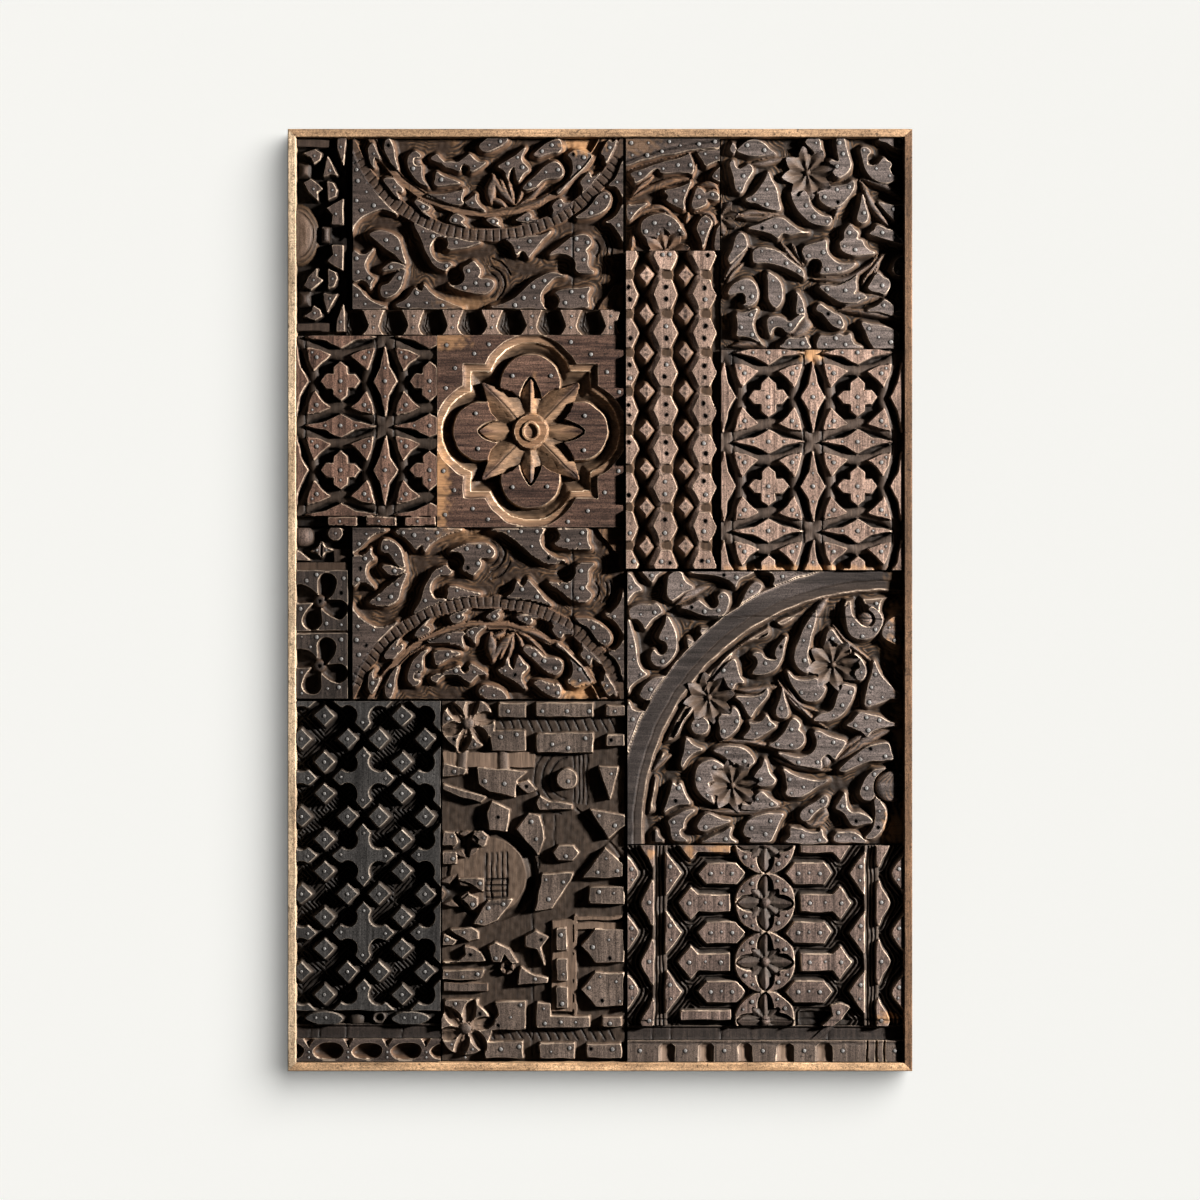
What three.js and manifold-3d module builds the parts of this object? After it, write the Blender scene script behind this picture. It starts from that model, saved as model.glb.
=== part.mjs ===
// Carved wooden panel: old carved blocks set side by side on a board in a thin mitred frame.
// Millimetres, +Z up. The panel stands upright, its carved face looks along -Y,
// and the middle of its flat back is the origin.

import * as THREE from 'three';
import { mergeVertices } from 'three/addons/utils/BufferGeometryUtils.js';
import Module from 'manifold-3d';

const wasm = await Module();
wasm.setup();

// Driving sizes of the whole panel.
const PANEL_WIDTH = 812;
const PANEL_HEIGHT = 1225;
const FRAME_FACE = 10.5;
const FRAME_DEPTH = 43;
const BOARD_THICK = 12;

// Carving depths below a block's face.
const SCROLL_DEPTH = 12;
const TRACERY_DEPTH = 12;
const HEXAGON_DEPTH = 16;
const LATTICE_DEPTH = 14;
const GEOMETRIC_DEPTH = 10;
const MOTIF_DEPTH = 9;
const BAND_DEPTH = 4;

// A cut reaches this far above the face, and a raised form this far into its ground.
const OVERLAP = 1;

// Segments along a carved stroke, and degrees between the points of an arc.
const STROKE_STEPS = 3;
const ARC_STEP = 55;

// A long ring sector has a point for each such product of degrees and radius.
const SECTOR_SPAN = 5200;

// Every block: left, bottom, width, height and thickness, from the panel's middle.
const BLOCKS = {
  scroll_strip: [-395, 350, 64, 252, 24],
  arch_block_upper: [-322, 379, 352, 223, 24],
  spool_strip_upper: [-331, 346, 361, 32, 21],
  tracery_block_left: [-395, 97, 182, 247, 25],
  rosette_block: [-212, 95, 243, 250, 22],
  star_block: [-395, 50, 71, 44, 20],
  pinwheel_block: [-395, -128, 66, 177, 24],
  arch_block_lower: [-322, -129, 353, 223, 24],
  lattice_block: [-395, -552, 187, 420, 25],
  plain_band_left: [-395, -571, 187, 18, 17],
  spool_strip_lower: [-395, -601, 187, 29, 22],
  mixed_motif_block: [-206, -601, 238, 469, 25],
  leaf_corner_block: [34, 456, 122, 146, 22],
  leaf_block: [158, 328, 237, 274, 22],
  hexagon_block: [34, 41, 122, 413, 30],
  tracery_block_right: [158, 39, 237, 287, 28],
  quarter_arch_block: [36, -318, 359, 355, 23],
  geometric_block: [36, -554, 359, 234, 28],
  plain_band_right: [36, -573, 359, 18, 18],
  dentil_strip: [36, -601, 359, 27, 24],
};

const COLOURS = {
  frame: 0xc9a87c,
  board: 0x4a3a2c,
  greyBrown: 0x6b5d52,
  redBrown: 0x7c6355,
  charcoal: 0x47413d,
  walnut: 0x6e4f3a,
  tan: 0xa08468,
};

// Outlines are lists of [right, up] points on a block's face, from its lower left corner.

const rectangle = (x, z, width, height) =>
  [[x, z], [x + width, z], [x + width, z + height], [x, z + height]];

const moved = (outline, x, z) => outline.map(([px, pz]) => [px + x, pz + z]);

function polygon(x, z, radius, sides, turn = 0) {
  const corner = (k) => THREE.MathUtils.degToRad(turn + (360 * k) / sides);
  return Array.from({ length: sides }, (_, k) =>
    [x + radius * Math.cos(corner(k)), z + radius * Math.sin(corner(k))]);
}

/** A ring sector between two radii. */
function ringSector(x, z, inner, outer, startAngle, endAngle) {
  const steps = Math.max(1, Math.round(((endAngle - startAngle) * outer) / SECTOR_SPAN));
  const arc = (radius) => Array.from({ length: steps + 1 }, (_, k) => {
    const angle = THREE.MathUtils.degToRad(startAngle + ((endAngle - startAngle) * k) / steps);
    return [x + radius * Math.cos(angle), z + radius * Math.sin(angle)];
  });
  return [...arc(outer), ...arc(inner).reverse()];
}

/** Outline of a line of points with a half width at each. A width of nothing makes a sharp end. */
function outlineAlong(points, halfWidths) {
  const side = (sign) => points.map((point, k) => {
    const before = points[Math.max(0, k - 1)];
    const after = points[Math.min(points.length - 1, k + 1)];
    const along = after.clone().sub(before).normalize();
    return [point.x - sign * along.y * halfWidths[k], point.y + sign * along.x * halfWidths[k]];
  });
  const left = side(1);
  const right = side(-1).filter((_, k) => halfWidths[k] > 0);
  return [...left, ...right.reverse()];
}

/**
 * A carved stroke from one point to another. Its middle bows to the left of the way it runs.
 * A stem keeps its width, a leaf is pointed at both ends, a drop is pointed only at its start.
 */
function stroke(kind, [x0, z0, x1, z1, bow, width]) {
  const start = new THREE.Vector2(x0, z0);
  const end = new THREE.Vector2(x1, z1);
  const chord = end.clone().sub(start);
  const sideways = new THREE.Vector2(-chord.y, chord.x).normalize();
  const control = start.clone().add(end).multiplyScalar(0.5).addScaledVector(sideways, 2 * bow);
  const points = new THREE.QuadraticBezierCurve(start, control, end).getPoints(STROKE_STEPS);
  const share = { stem: [1, 1, 1, 1], leaf: [0, 0.9, 0.9, 0], drop: [0, 0.75, 1, 0.55] }[kind];
  return outlineAlong(points, share.map((part) => (part * width) / 2));
}

/** A curled stroke round a centre, from a first to a last radius and width. */
function curl([x, z, firstRadius, lastRadius, startAngle, turn, firstWidth, lastWidth]) {
  const steps = Math.ceil(Math.abs(turn) / ARC_STEP);
  const points = [];
  const widths = [];
  for (let k = 0; k <= steps; k += 1) {
    const t = k / steps;
    const angle = THREE.MathUtils.degToRad(startAngle + turn * t);
    const radius = THREE.MathUtils.lerp(firstRadius, lastRadius, t);
    points.push(new THREE.Vector2(x + radius * Math.cos(angle), z + radius * Math.sin(angle)));
    widths.push(THREE.MathUtils.lerp(firstWidth, lastWidth, t) / 2);
  }
  return outlineAlong(points, widths);
}

/** A flower with eight petals as one scalloped outline. */
function flower([x, z, radius]) {
  const petals = 8;
  const notch = 0.74;
  return polygon(x, z, radius, 2 * petals)
    .map(([px, pz], k) => (k % 2 ? [x + (px - x) * notch, z + (pz - z) * notch] : [px, pz]));
}

// Solids.

function solidFrom(geometry) {
  geometry.deleteAttribute('normal');
  geometry.deleteAttribute('uv');
  const merged = mergeVertices(geometry);
  return new wasm.Manifold(new wasm.Mesh({
    numProp: 3,
    vertProperties: merged.attributes.position.array,
    triVerts: new Uint32Array(merged.index.array),
  }));
}

function geometryFrom(solid) {
  const { vertProperties, triVerts } = solid.getMesh();
  const geometry = new THREE.BufferGeometry();
  geometry.setAttribute('position', new THREE.BufferAttribute(vertProperties, 3));
  geometry.setIndex(new THREE.BufferAttribute(triVerts, 1));
  geometry.computeVertexNormals();
  return geometry;
}

/** A prism with this outline on the face, between two distances from the panel's back. */
function prism(outline, back, front) {
  const shape = new THREE.Shape(outline.map(([x, z]) => new THREE.Vector2(x, z)));
  const geometry = new THREE.ExtrudeGeometry(shape, { depth: front - back, bevelEnabled: false });
  geometry.translate(0, 0, back);
  geometry.rotateX(Math.PI / 2);
  return solidFrom(geometry);
}

/** One block's sizes, with the distance of its face from the panel's back. */
function blockSizes(name) {
  const [left, bottom, width, height, thick] = BLOCKS[name];
  return { left, bottom, width, height, face: BOARD_THICK + thick };
}

/** The block's plain slab, up to a depth below its face. */
function slab({ width, height, face }, depth = 0) {
  return prism(rectangle(0, 0, width, height), BOARD_THICK, face - depth);
}

/** Sink outlines into a solid, this deep below the block's face. */
function sink(solid, block, outlines, depth) {
  return outlines.reduce((rest, outline) =>
    rest.subtract(prism(outline, block.face - depth, block.face + OVERLAP)), solid);
}

/** Raise outlines from a sunk ground, up to a depth below the block's face. */
function raise(solid, block, outlines, groundDepth, topDepth = 0) {
  const back = block.face - groundDepth - OVERLAP;
  const joined = outlines.reduce((rest, outline) =>
    rest.add(prism(outline, back, block.face - topDepth)), solid);
  return joined.intersect(slab(block));
}

// Scrolls with leaves, stems and flowers, sunk into the face of a block.
// Stems, drops and leaves: start right, start up, end right, end up, bow, width.
// Curls: centre right, centre up, first radius, last radius, start angle, turn, two widths.
// Flowers: centre right, centre up, radius.

const ARCH_SCROLLS = {
  stems: [
    [57, 224, 110, 154, -13, 13], [110, 154, 244, 218, -10, 13], [66, 113, 133, 47, -8, 23],
    [302, 110, 186, 4, -8, 24], [86, 54, 168, 8, -13, 24],
  ],
  curls: [
    [35, 87, 27, 25, 35, 195, 21, 17], [56, 37, 29, 28, 175, 225, 17, 14],
    [158, 40, 38, 34, 85, -160, 34, 22], [302, 78, 26, 24, 85, -175, 28, 16],
    [258, 182, 24, 21, 110, -175, 14, 12],
  ],
  drops: [
    [186, 70, 103, 78, 6, 27], [92, 224, 152, 196, -4, 25], [232, 60, 291, 58, 2, 20],
    [346, 50, 254, 30, 4, 15],
  ],
  leaves: [[182, 186, 180, 128, 0, 36], [212, 136, 270, 152, 4, 18]],
};

const QUARTER_ARCH_SCROLLS = {
  stems: [
    [246, 310, 213, 224, -11, 18], [202, 224, 264, 178, -15, 18], [94, 36, 225, 58, -4, 17],
    [225, 58, 356, 108, 3, 18], [262, 40, 320, 20, -9, 20],
  ],
  curls: [
    [168, 232, 22, 18, 55, 215, 13, 13], [312, 300, 35, 30, 125, 145, 15, 13],
    [96, 157, 21, 20, 160, 205, 14, 14], [114, 82, 36, 36, 232, -172, 16, 16],
  ],
  drops: [
    [52, 316, 43, 356, 2, 22], [50, 312, 4, 318, -6, 19], [52, 302, 27, 250, -5, 16],
    [58, 304, 71, 244, 4, 17], [62, 300, 99, 266, 2, 16], [58, 306, 134, 296, -8, 21],
    [212, 180, 298, 146, -8, 16], [178, 125, 244, 150, -14, 16], [196, 112, 272, 102, -9, 20],
  ],
  flowers: [[106, 192, 30], [268, 234, 33], [137, 76, 33]],
};

const LEAF_SCROLLS = {
  stems: [[176, 268, 178, 222, -2, 14], [14, 98, 106, 88, 11, 14], [98, 94, 170, 24, -2, 17]],
  curls: [
    [135, 212, 54, 53, 170, 105, 13, 12], [150, 211, 32, 31, 170, 135, 12, 11],
    [30, 72, 27, 25, 135, -190, 13, 11],
  ],
  drops: [
    [106, 275, 62, 224, -4, 20], [62, 233, 27, 202, -5, 16], [82, 128, 28, 148, 3, 16],
    [206, 125, 112, 116, 22, 15], [206, 124, 150, 156, 18, 15], [206, 112, 183, 74, 4, 15],
    [92, 84, 88, 36, 5, 17], [108, 86, 168, 58, -2, 15], [124, 52, 154, 18, -4, 22],
    [172, 36, 200, 0, -4, 17], [12, 57, 10, 13, 2, 18],
  ],
  leaves: [[182, 222, 240, 200, -4, 24]],
  flowers: [[113, 229, 33], [2, 172, 36]],
};

const CORNER_SCROLLS = {
  stems: [[95, 94, 79, 46, -5, 13], [84, 52, 92, -4, -2, 18]],
  curls: [[44, 14, 37, 37, 205, -195, 15, 15]],
  drops: [
    [6, 73, 45, 106, 2, 14], [2, 67, 90, 97, 5, 17], [4, 63, 80, 52, 9, 14],
    [102, 96, 128, 118, 2, 14], [126, 82, 95, 86, -7, 12],
  ],
  flowers: [[52, -2, 30]],
};

function scrollOutlines({ stems = [], curls = [], drops = [], leaves = [], flowers = [] }) {
  return [
    ...stems.map((values) => stroke('stem', values)),
    ...drops.map((values) => stroke('drop', values)),
    ...leaves.map((values) => stroke('leaf', values)),
    ...curls.map(curl),
    ...flowers.map(flower),
  ];
}

/** An outline turned upside down on a face of this height. */
const flipped = (outline, height) => outline.map(([x, z]) => [x, height - z]).reverse();

/** Arch of beads and teeth over the scrolls. The lower arch block is the upper one upside down. */
function archBlock(block, upsideDown) {
  const [centreX, centreZ] = [175, 290];
  const [beadInner, beadOuter] = [186, 201];
  const beadArc = [205, 335];
  const toothInner = 169;
  const [firstTooth, toothPitch, toothHollow] = [199.7, 15.2, 7];
  const place = (outline) => (upsideDown ? flipped(outline, block.height) : outline);
  const beads = ringSector(centreX, centreZ, beadInner, beadOuter, ...beadArc);
  const teeth = [0, 1, 2, 3, 4, 5, 6, 7, 8].map((k) => {
    const start = firstTooth + k * toothPitch;
    return ringSector(centreX, centreZ, toothInner, beadInner, start, start + toothHollow);
  });
  let solid = sink(slab(block), block, [place(beads)], BAND_DEPTH);
  solid = sink(solid, block, [...teeth, ...scrollOutlines(ARCH_SCROLLS)].map(place), SCROLL_DEPTH);
  return solid;
}

/** Quarter arch: a lowered band with a deep groove inside it, and scrolls on both sides. */
function quarterArchBlock(block) {
  const [centreX, centreZ] = [330, 20];
  const [grooveInner, grooveOuter, bandOuter] = [303, 313, 343];
  const arc = [78, 186];
  const band = ringSector(centreX, centreZ, grooveOuter, bandOuter, ...arc);
  const groove = ringSector(centreX, centreZ, grooveInner, grooveOuter, ...arc);
  const solid = sink(slab(block), block, [band], BAND_DEPTH);
  return sink(solid, block, [groove, ...scrollOutlines(QUARTER_ARCH_SCROLLS)], SCROLL_DEPTH);
}

function leafBlock(block) {
  return sink(slab(block), block, scrollOutlines(LEAF_SCROLLS), SCROLL_DEPTH);
}

/** Small leaf block: a piece of a wide arch across its top, and scrolls under it. */
function leafCornerBlock(block) {
  const groove = ringSector(180, -402, 530, 538, 92, 112);
  return sink(slab(block), block, [groove, ...scrollOutlines(CORNER_SCROLLS)], SCROLL_DEPTH);
}

// Tracery: crosses with a triangle at each corner and diamonds between them, left standing.

const TRACERY_PITCH = 116;

/** A four-armed outline from the points of its first arm. */
function fourArms(points) {
  const quarterTurns = ([x, z]) => [[x, z], [-z, x], [-x, -z], [z, -x]];
  return [0, 1, 2, 3].flatMap((k) => points.map((point) => quarterTurns(point)[k]));
}

function traceryIslands(firstX, firstZ, columns, rows) {
  const [long, short] = [44, 15];
  const [nearSide, nearUp, far] = [34, 14, 43];
  const triangle = [[nearSide, nearUp], [far, far], [nearUp, nearSide]];
  const halfPitch = TRACERY_PITCH / 2;
  const [arm, half] = [23, 8];
  const cross = fourArms([[arm, half], [half, half], [half, arm]]);
  const outlines = [];
  for (let column = -1; column <= columns; column += 1) {
    for (let row = -1; row <= rows; row += 1) {
      const x = firstX + column * TRACERY_PITCH;
      const z = firstZ + row * TRACERY_PITCH;
      outlines.push(moved(cross, x, z));
      outlines.push(moved([[short, 0], [0, long], [-short, 0], [0, -long]], x + halfPitch, z));
      outlines.push(moved([[long, 0], [0, short], [-long, 0], [0, -short]], x, z + halfPitch));
      outlines.push(moved(triangle, x, z));
      outlines.push(moved(triangle.map(([px, pz]) => [-px, pz]).reverse(), x, z));
      outlines.push(moved(triangle.map(([px, pz]) => [px, -pz]).reverse(), x, z));
      outlines.push(moved(triangle.map(([px, pz]) => [-px, -pz]), x, z));
    }
  }
  return outlines;
}

/** Only the outlines that reach onto a face above a lowest height. */
function reaching(outlines, block, lowest = 0) {
  const margin = 6;
  return outlines.filter((outline) => {
    const right = outline.map(([x]) => x);
    const up = outline.map(([, z]) => z);
    return Math.max(...right) > margin && Math.min(...right) < block.width - margin
      && Math.max(...up) > lowest + margin && Math.min(...up) < block.height - margin;
  });
}

function traceryRightBlock(block) {
  const islands = reaching(traceryIslands(61, 109, 2, 1), block, 16);
  return raise(slab(block, TRACERY_DEPTH), block, islands, TRACERY_DEPTH);
}

/** The left tracery has a row of dashes along its bottom edge. */
function traceryLeftBlock(block) {
  const dashHeight = 10;
  const dashes = [[42, 35], [92, 37], [142, 38]].map(([x, width]) =>
    rectangle(x, 0, width, dashHeight));
  const islands = reaching(traceryIslands(57, 72, 1, 1), block, dashHeight);
  const ground = slab(block, TRACERY_DEPTH);
  const edge = rectangle(-OVERLAP, -OVERLAP, block.width + 2 * OVERLAP, dashHeight + 2 * OVERLAP);
  const tracery = sink(raise(ground, block, islands, TRACERY_DEPTH), block, [edge], TRACERY_DEPTH);
  return raise(tracery, block, dashes, TRACERY_DEPTH);
}

/** Four-lobed recess with a flower in it. */
function rosetteBlock(block) {
  const [x, z] = [block.width / 2, block.height / 2];
  const [halfSquare, lobeOffset, lobeRadius] = [88, 62, 65];
  const [discRadius, ringRadius, buttonRadius] = [38, 22, 10.5];
  const [recessDepth, leafDepth, ringDepth] = [8, 13, 5];
  const [leafReach, leafWidth, smallReach, smallWidth] = [62, 46, 64, 22];
  const axes = [[1, 0], [0, 1], [-1, 0], [0, -1]];
  const lobes = axes.map(([ax, az]) =>
    polygon(x + ax * lobeOffset, z + az * lobeOffset, lobeRadius, 12, 15));
  const discs = axes.map(([ax, az]) =>
    polygon(x + ax * lobeOffset, z + az * lobeOffset, discRadius, 10));
  const diagonals = [[1, 1], [-1, 1], [-1, -1], [1, -1]].map(([ax, az]) =>
    stroke('leaf', [x, z, x + ax * leafReach, z + az * leafReach, 0, leafWidth]));
  const smallLeaves = axes.map(([ax, az]) =>
    stroke('leaf', [x, z, x + ax * smallReach, z + az * smallReach, 0, smallWidth]));
  const square = rectangle(x - halfSquare, z - halfSquare, 2 * halfSquare, 2 * halfSquare);
  let solid = sink(slab(block), block, [square, ...lobes], recessDepth);
  solid = raise(solid, block, discs, recessDepth);
  solid = sink(solid, block, [...diagonals, ...smallLeaves], leafDepth);
  solid = raise(solid, block, [polygon(x, z, ringRadius, 12)], leafDepth, ringDepth);
  return raise(solid, block, [polygon(x, z, buttonRadius, 10)], leafDepth);
}

/** Columns of six-sided studs. */
function hexagonBlock(block) {
  const [pitchX, pitchZ, firstZ] = [51, 50.4, 4];
  const [halfWidth, halfHeight, flat] = [15, 18.5, 6.5];
  const hexagon = [[halfWidth, 0], [flat, halfHeight], [-flat, halfHeight],
    [-halfWidth, 0], [-flat, -halfHeight], [flat, -halfHeight]];
  const studs = [];
  for (let row = 0; row <= 8; row += 1) {
    for (let column = 0; column <= 2; column += 1) {
      studs.push(moved(hexagon, column * pitchX, firstZ + row * pitchZ));
    }
  }
  return raise(slab(block, HEXAGON_DEPTH), block, studs, HEXAGON_DEPTH);
}

/** Groups of four studs, with flat four-armed stars between the groups. */
function latticeBlock(block) {
  const cell = 101;
  const [groupX, groupZ, studReach, studHalf] = [36, 68, 30, 12.5];
  const [armReach, armHalf, waist] = [36, 7, 10];
  const star = fourArms([[armReach, armHalf], [waist, waist], [armHalf, armReach]]);
  const islands = [];
  for (let column = -1; column <= 1; column += 1) {
    for (let row = -1; row <= 4; row += 1) {
      const x = groupX + column * cell;
      const z = groupZ + row * cell;
      islands.push(polygon(x - studReach, z, studHalf, 4), polygon(x + studReach, z, studHalf, 4));
      islands.push(polygon(x, z - studReach, studHalf, 4), polygon(x, z + studReach, studHalf, 4));
      islands.push(moved(star, x + cell / 2, z + cell / 2));
    }
  }
  const [footHeight, lensHalf, lensMiddle, lensWidth] = [18, 22, 7, 14];
  const foot = rectangle(-1, -1, block.width + 2, footHeight + 1);
  const lenses = [36, 148].map((x) =>
    stroke('leaf', [x - lensHalf, lensMiddle, x + lensHalf, lensMiddle, 0, lensWidth]));
  const ground = slab(block, LATTICE_DEPTH);
  const lattice = raise(ground, block, reaching(islands, block), LATTICE_DEPTH);
  return raise(sink(lattice, block, [foot], LATTICE_DEPTH), block, lenses, LATTICE_DEPTH);
}

/** Rosettes down the middle with bars, arrows and triangles on each side. */
function geometricBlock(block) {
  const middle = 179;
  const pitch = 77;
  const rosetteRadius = 38;
  const rosetteDrop = 4;
  const bar = [[-29, 0], [-19, 13], [19, 13], [29, 0], [19, -13], [-19, -13]];
  const arrow = [[-47, -10.5], [-88, -10.5], [-97, -20], [-112, 0], [-97, 20], [-88, 10.5], [-47, 10.5]];
  const triangle = [[-128, 27], [-128, -27], [-109, 0]];
  const petalCross = [[34, 0], [8, 8], [0, 34], [-8, 8], [-34, 0], [-8, -8], [0, -34], [8, -8]];
  const mirrored = (outline) => outline.map(([x, z]) => [-x, z]).reverse();
  const bothSides = (outline, z) => [moved(outline, middle, z), moved(mirrored(outline), middle, z)];
  const islands = [];
  const rosettes = [];
  const petals = [];
  for (let row = 0; row < 3; row += 1) {
    const barZ = 44 + row * pitch;
    const arrowZ = barZ + pitch / 2;
    islands.push(...bothSides(moved(bar, -57, 0), barZ), ...bothSides(triangle, barZ));
    if (row < 2) islands.push(...bothSides(arrow, arrowZ));
    const rosetteZ = arrowZ;
    rosettes.push(polygon(middle, rosetteZ, rosetteRadius, 12));
    petals.push(moved(petalCross, middle, rosetteZ));
  }
  const [railNear, railWide] = [131, 14];
  const rails = [middle - railNear - railWide, middle + railNear].map((x) =>
    rectangle(x, 0, railWide, block.height));
  let solid = slab(block, GEOMETRIC_DEPTH);
  solid = raise(solid, block, [...rails, ...rosettes], GEOMETRIC_DEPTH, rosetteDrop);
  solid = raise(solid, block, reaching(islands, block), GEOMETRIC_DEPTH);
  return sink(solid, block, petals, GEOMETRIC_DEPTH + 2);
}

/** Bars, studs, shields and flowers standing on a sunk ground. */
function mixedMotifBlock(block) {
  const bars = [
    [75, 449, 33, 17], [124, 450, 72, 16], [65, 405, 43, 25],
    [124, 403, 72, 24], [193, 206, 44, 21], [150, 145, 12, 28], [150, 106, 13, 27],
    [150, 70, 13, 27], [2, 107, 52, 11], [126, 45, 66, 13], [124, 45, 17, 31],
    [57, 5, 48, 20], [128, 5, 44, 18], [190, 5, 43, 17], [5, 60, 42, 20],
  ].map(([x, z, width, height]) => rectangle(x, z, width, height));
  const shield = [[-27, 0], [-9, 21], [27, 20], [27, -21], [-9, -21]];
  const plates = [
    [[47, 382], [110, 377], [97, 367], [95, 345], [62, 352], [48, 363]],
    [[205, 384], [219, 343], [229, 383]],
    [[194, 328], [237, 320], [237, 308], [217, 292]],
    [[124, 337], [128, 329], [170, 329], [170, 334], [127, 345]],
    [[185, 240], [235, 240], [235, 258], [212, 277]],
    [[113, 322], [98, 303], [125, 270], [133, 290], [127, 319]],
    [[60, 325], [62, 302], [84, 300], [88, 328], [65, 338]],
    [[131, 243], [122, 196], [143, 200], [166, 235], [170, 245]],
    [[70, 77], [60, 41], [108, 43], [108, 78]],
    [[110, 163], [110, 150], [134, 126], [128, 148], [138, 161], [122, 170]],
  ];
  const pegs = [polygon(163, 368, 12, 12), polygon(162, 272, 16, 6)];
  const crescent = ringSector(82, 240, 36, 50, -70, 75);
  const flowers = [flower([37, 442, 34]), flower([32, 38, 34])];
  const shields = [moved(shield, 209, 151), moved(shield, 209, 94)];
  let solid = slab(block, MOTIF_DEPTH);
  solid = raise(solid, block, [...bars, ...plates, ...shields, ...pegs], MOTIF_DEPTH);
  return sink(solid, block, [crescent, ...flowers], MOTIF_DEPTH + BAND_DEPTH);
}

/** Tall strip with a half-round boss at its left edge and scroll leaves above and below it. */
function scrollStrip(block) {
  const middle = block.height / 2;
  const leaves = [
    [[10, 106], [31, 104], [32, 102], [22, 93], [12, 98]],
    [[40, 100], [35, 76], [45, 79], [53, 78]],
    [[18, 72], [10, 67], [27, 45], [33, 60]],
    [[42, 69], [42, 45], [51, 50], [51, 62]],
    [[40, 34], [47, 14], [60, 14], [60, 46]],
    [[54, 126], [52, 114], [60, 92], [63, 126]],
  ].map((outline) => outline.map(([x, z]) => [x, z + middle]));
  const lower = leaves.map((outline) => flipped(outline, block.height));
  const [bossWide, bossTall, bossHigh] = [29, 41, 15];
  const boss = new THREE.SphereGeometry(1, 8, 6);
  boss.scale(bossWide, bossHigh, bossTall);
  boss.translate(0, -(block.face - LATTICE_DEPTH), middle);
  const knob = rectangle(32, middle - 10, 10, 20);
  const ground = slab(block, LATTICE_DEPTH);
  const carved = raise(ground, block, [...leaves, ...lower, knob], LATTICE_DEPTH);
  return carved.add(solidFrom(boss)).intersect(slab(block));
}

/** Two pinwheels of four sunk blades, one over the other, each with a round button. */
function pinwheelBlock(block) {
  const blade = { start: -4, reach: 37, bow: -4, width: 26 };
  const [hubRadius, buttonRadius] = [10, 7];
  let solid = slab(block);
  for (const [x, z] of [[29, 42], [30, 126]]) {
    const blades = [76, 166, 256, 346].map((degrees) => {
      const angle = THREE.MathUtils.degToRad(degrees);
      const along = (distance) => [x + distance * Math.cos(angle), z + distance * Math.sin(angle)];
      return stroke('drop', [...along(blade.start), ...along(blade.reach), blade.bow, blade.width]);
    });
    solid = sink(solid, block, [...blades, polygon(x, z, hubRadius, 8)], SCROLL_DEPTH);
    solid = raise(solid, block, [polygon(x, z, buttonRadius, 8)], SCROLL_DEPTH, BAND_DEPTH);
  }
  const seam = rectangle(-1, 84, block.width + 2, 4);
  return sink(solid, block, [seam], BAND_DEPTH);
}

/** Small block with a four-pointed star, a round stud and corner plates. */
function starBlock(block) {
  const star = [[18, 14], [27, 12], [32, 6], [36, 12], [46, 15], [36, 18], [32, 25], [27, 18]];
  const plates = [polygon(8, 33, 12, 12), polygon(50, 37, 9, 8), [[0, 14], [0, 2], [15, 2]]];
  const ground = slab(block, SCROLL_DEPTH);
  return raise(ground, block, [star, ...plates], SCROLL_DEPTH);
}

/** Row of shell hollows that leave spool shapes standing between them. */
function spoolStripUpper(block) {
  const [pitch, first] = [51.5, 10];
  const hollow = [[-10, -1], [-20, 11], [-12, 31], [12, 31], [20, 11], [10, -1]].reverse();
  const hollows = [0, 1, 2, 3, 4, 5, 6].map((k) => moved(hollow, first + k * pitch, 0));
  return sink(slab(block), block, hollows, SCROLL_DEPTH);
}

/** Row of wide hollows with small notches over the crossed bars between them. */
function spoolStripLower(block) {
  const [pitch, first] = [51, 41];
  const hollow = [[-20, 12], [-13, 4], [4, 3], [15, 7], [19, 16], [12, 23], [-4, 24], [-14, 20]];
  const notch = [[0, 18], [7, 30], [-7, 30]];
  const outlines = [-1, 0, 1, 2, 3].flatMap((k) =>
    [moved(hollow, first + k * pitch, 0), moved(notch, first + (k + 0.5) * pitch, 0)]);
  return sink(slab(block), block, reaching(outlines, block), SCROLL_DEPTH);
}

/** Flat bars with a round scoop between each two, and three thin slots at the right end. */
function dentilStrip(block) {
  const [scoopHeight, slotWidth] = [24, 4];
  const scoops = [[40, 22], [92, 21], [143, 20], [193, 24], [245, 22]].map(([x, width]) =>
    [[x, -1], [x + width, -1], [x + width, scoopHeight - 4], [x + width - 5, scoopHeight],
      [x + 5, scoopHeight], [x, scoopHeight - 4]]);
  const slots = [310, 322, 332].map((x) => rectangle(x, -1, slotWidth, block.height + 2));
  return sink(slab(block), block, [...scoops, ...slots], SCROLL_DEPTH);
}

// The frame: four rails mitred at the corners.

function frameRail(side) {
  const [outerX, outerZ] = [PANEL_WIDTH / 2, PANEL_HEIGHT / 2];
  const [innerX, innerZ] = [outerX - FRAME_FACE, outerZ - FRAME_FACE];
  const outline = {
    top: [[-innerX, innerZ], [innerX, innerZ], [outerX, outerZ], [-outerX, outerZ]],
    bottom: [[-outerX, -outerZ], [outerX, -outerZ], [innerX, -innerZ], [-innerX, -innerZ]],
    left: [[-outerX, -outerZ], [-innerX, -innerZ], [-innerX, innerZ], [-outerX, outerZ]],
    right: [[innerX, -innerZ], [outerX, -outerZ], [outerX, outerZ], [innerX, innerZ]],
  }[side];
  return prism(outline, 0, FRAME_DEPTH);
}

function backBoard() {
  const [width, height] = [PANEL_WIDTH - 2 * FRAME_FACE, PANEL_HEIGHT - 2 * FRAME_FACE];
  return prism(rectangle(-width / 2, -height / 2, width, height), 0, BOARD_THICK);
}

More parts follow.
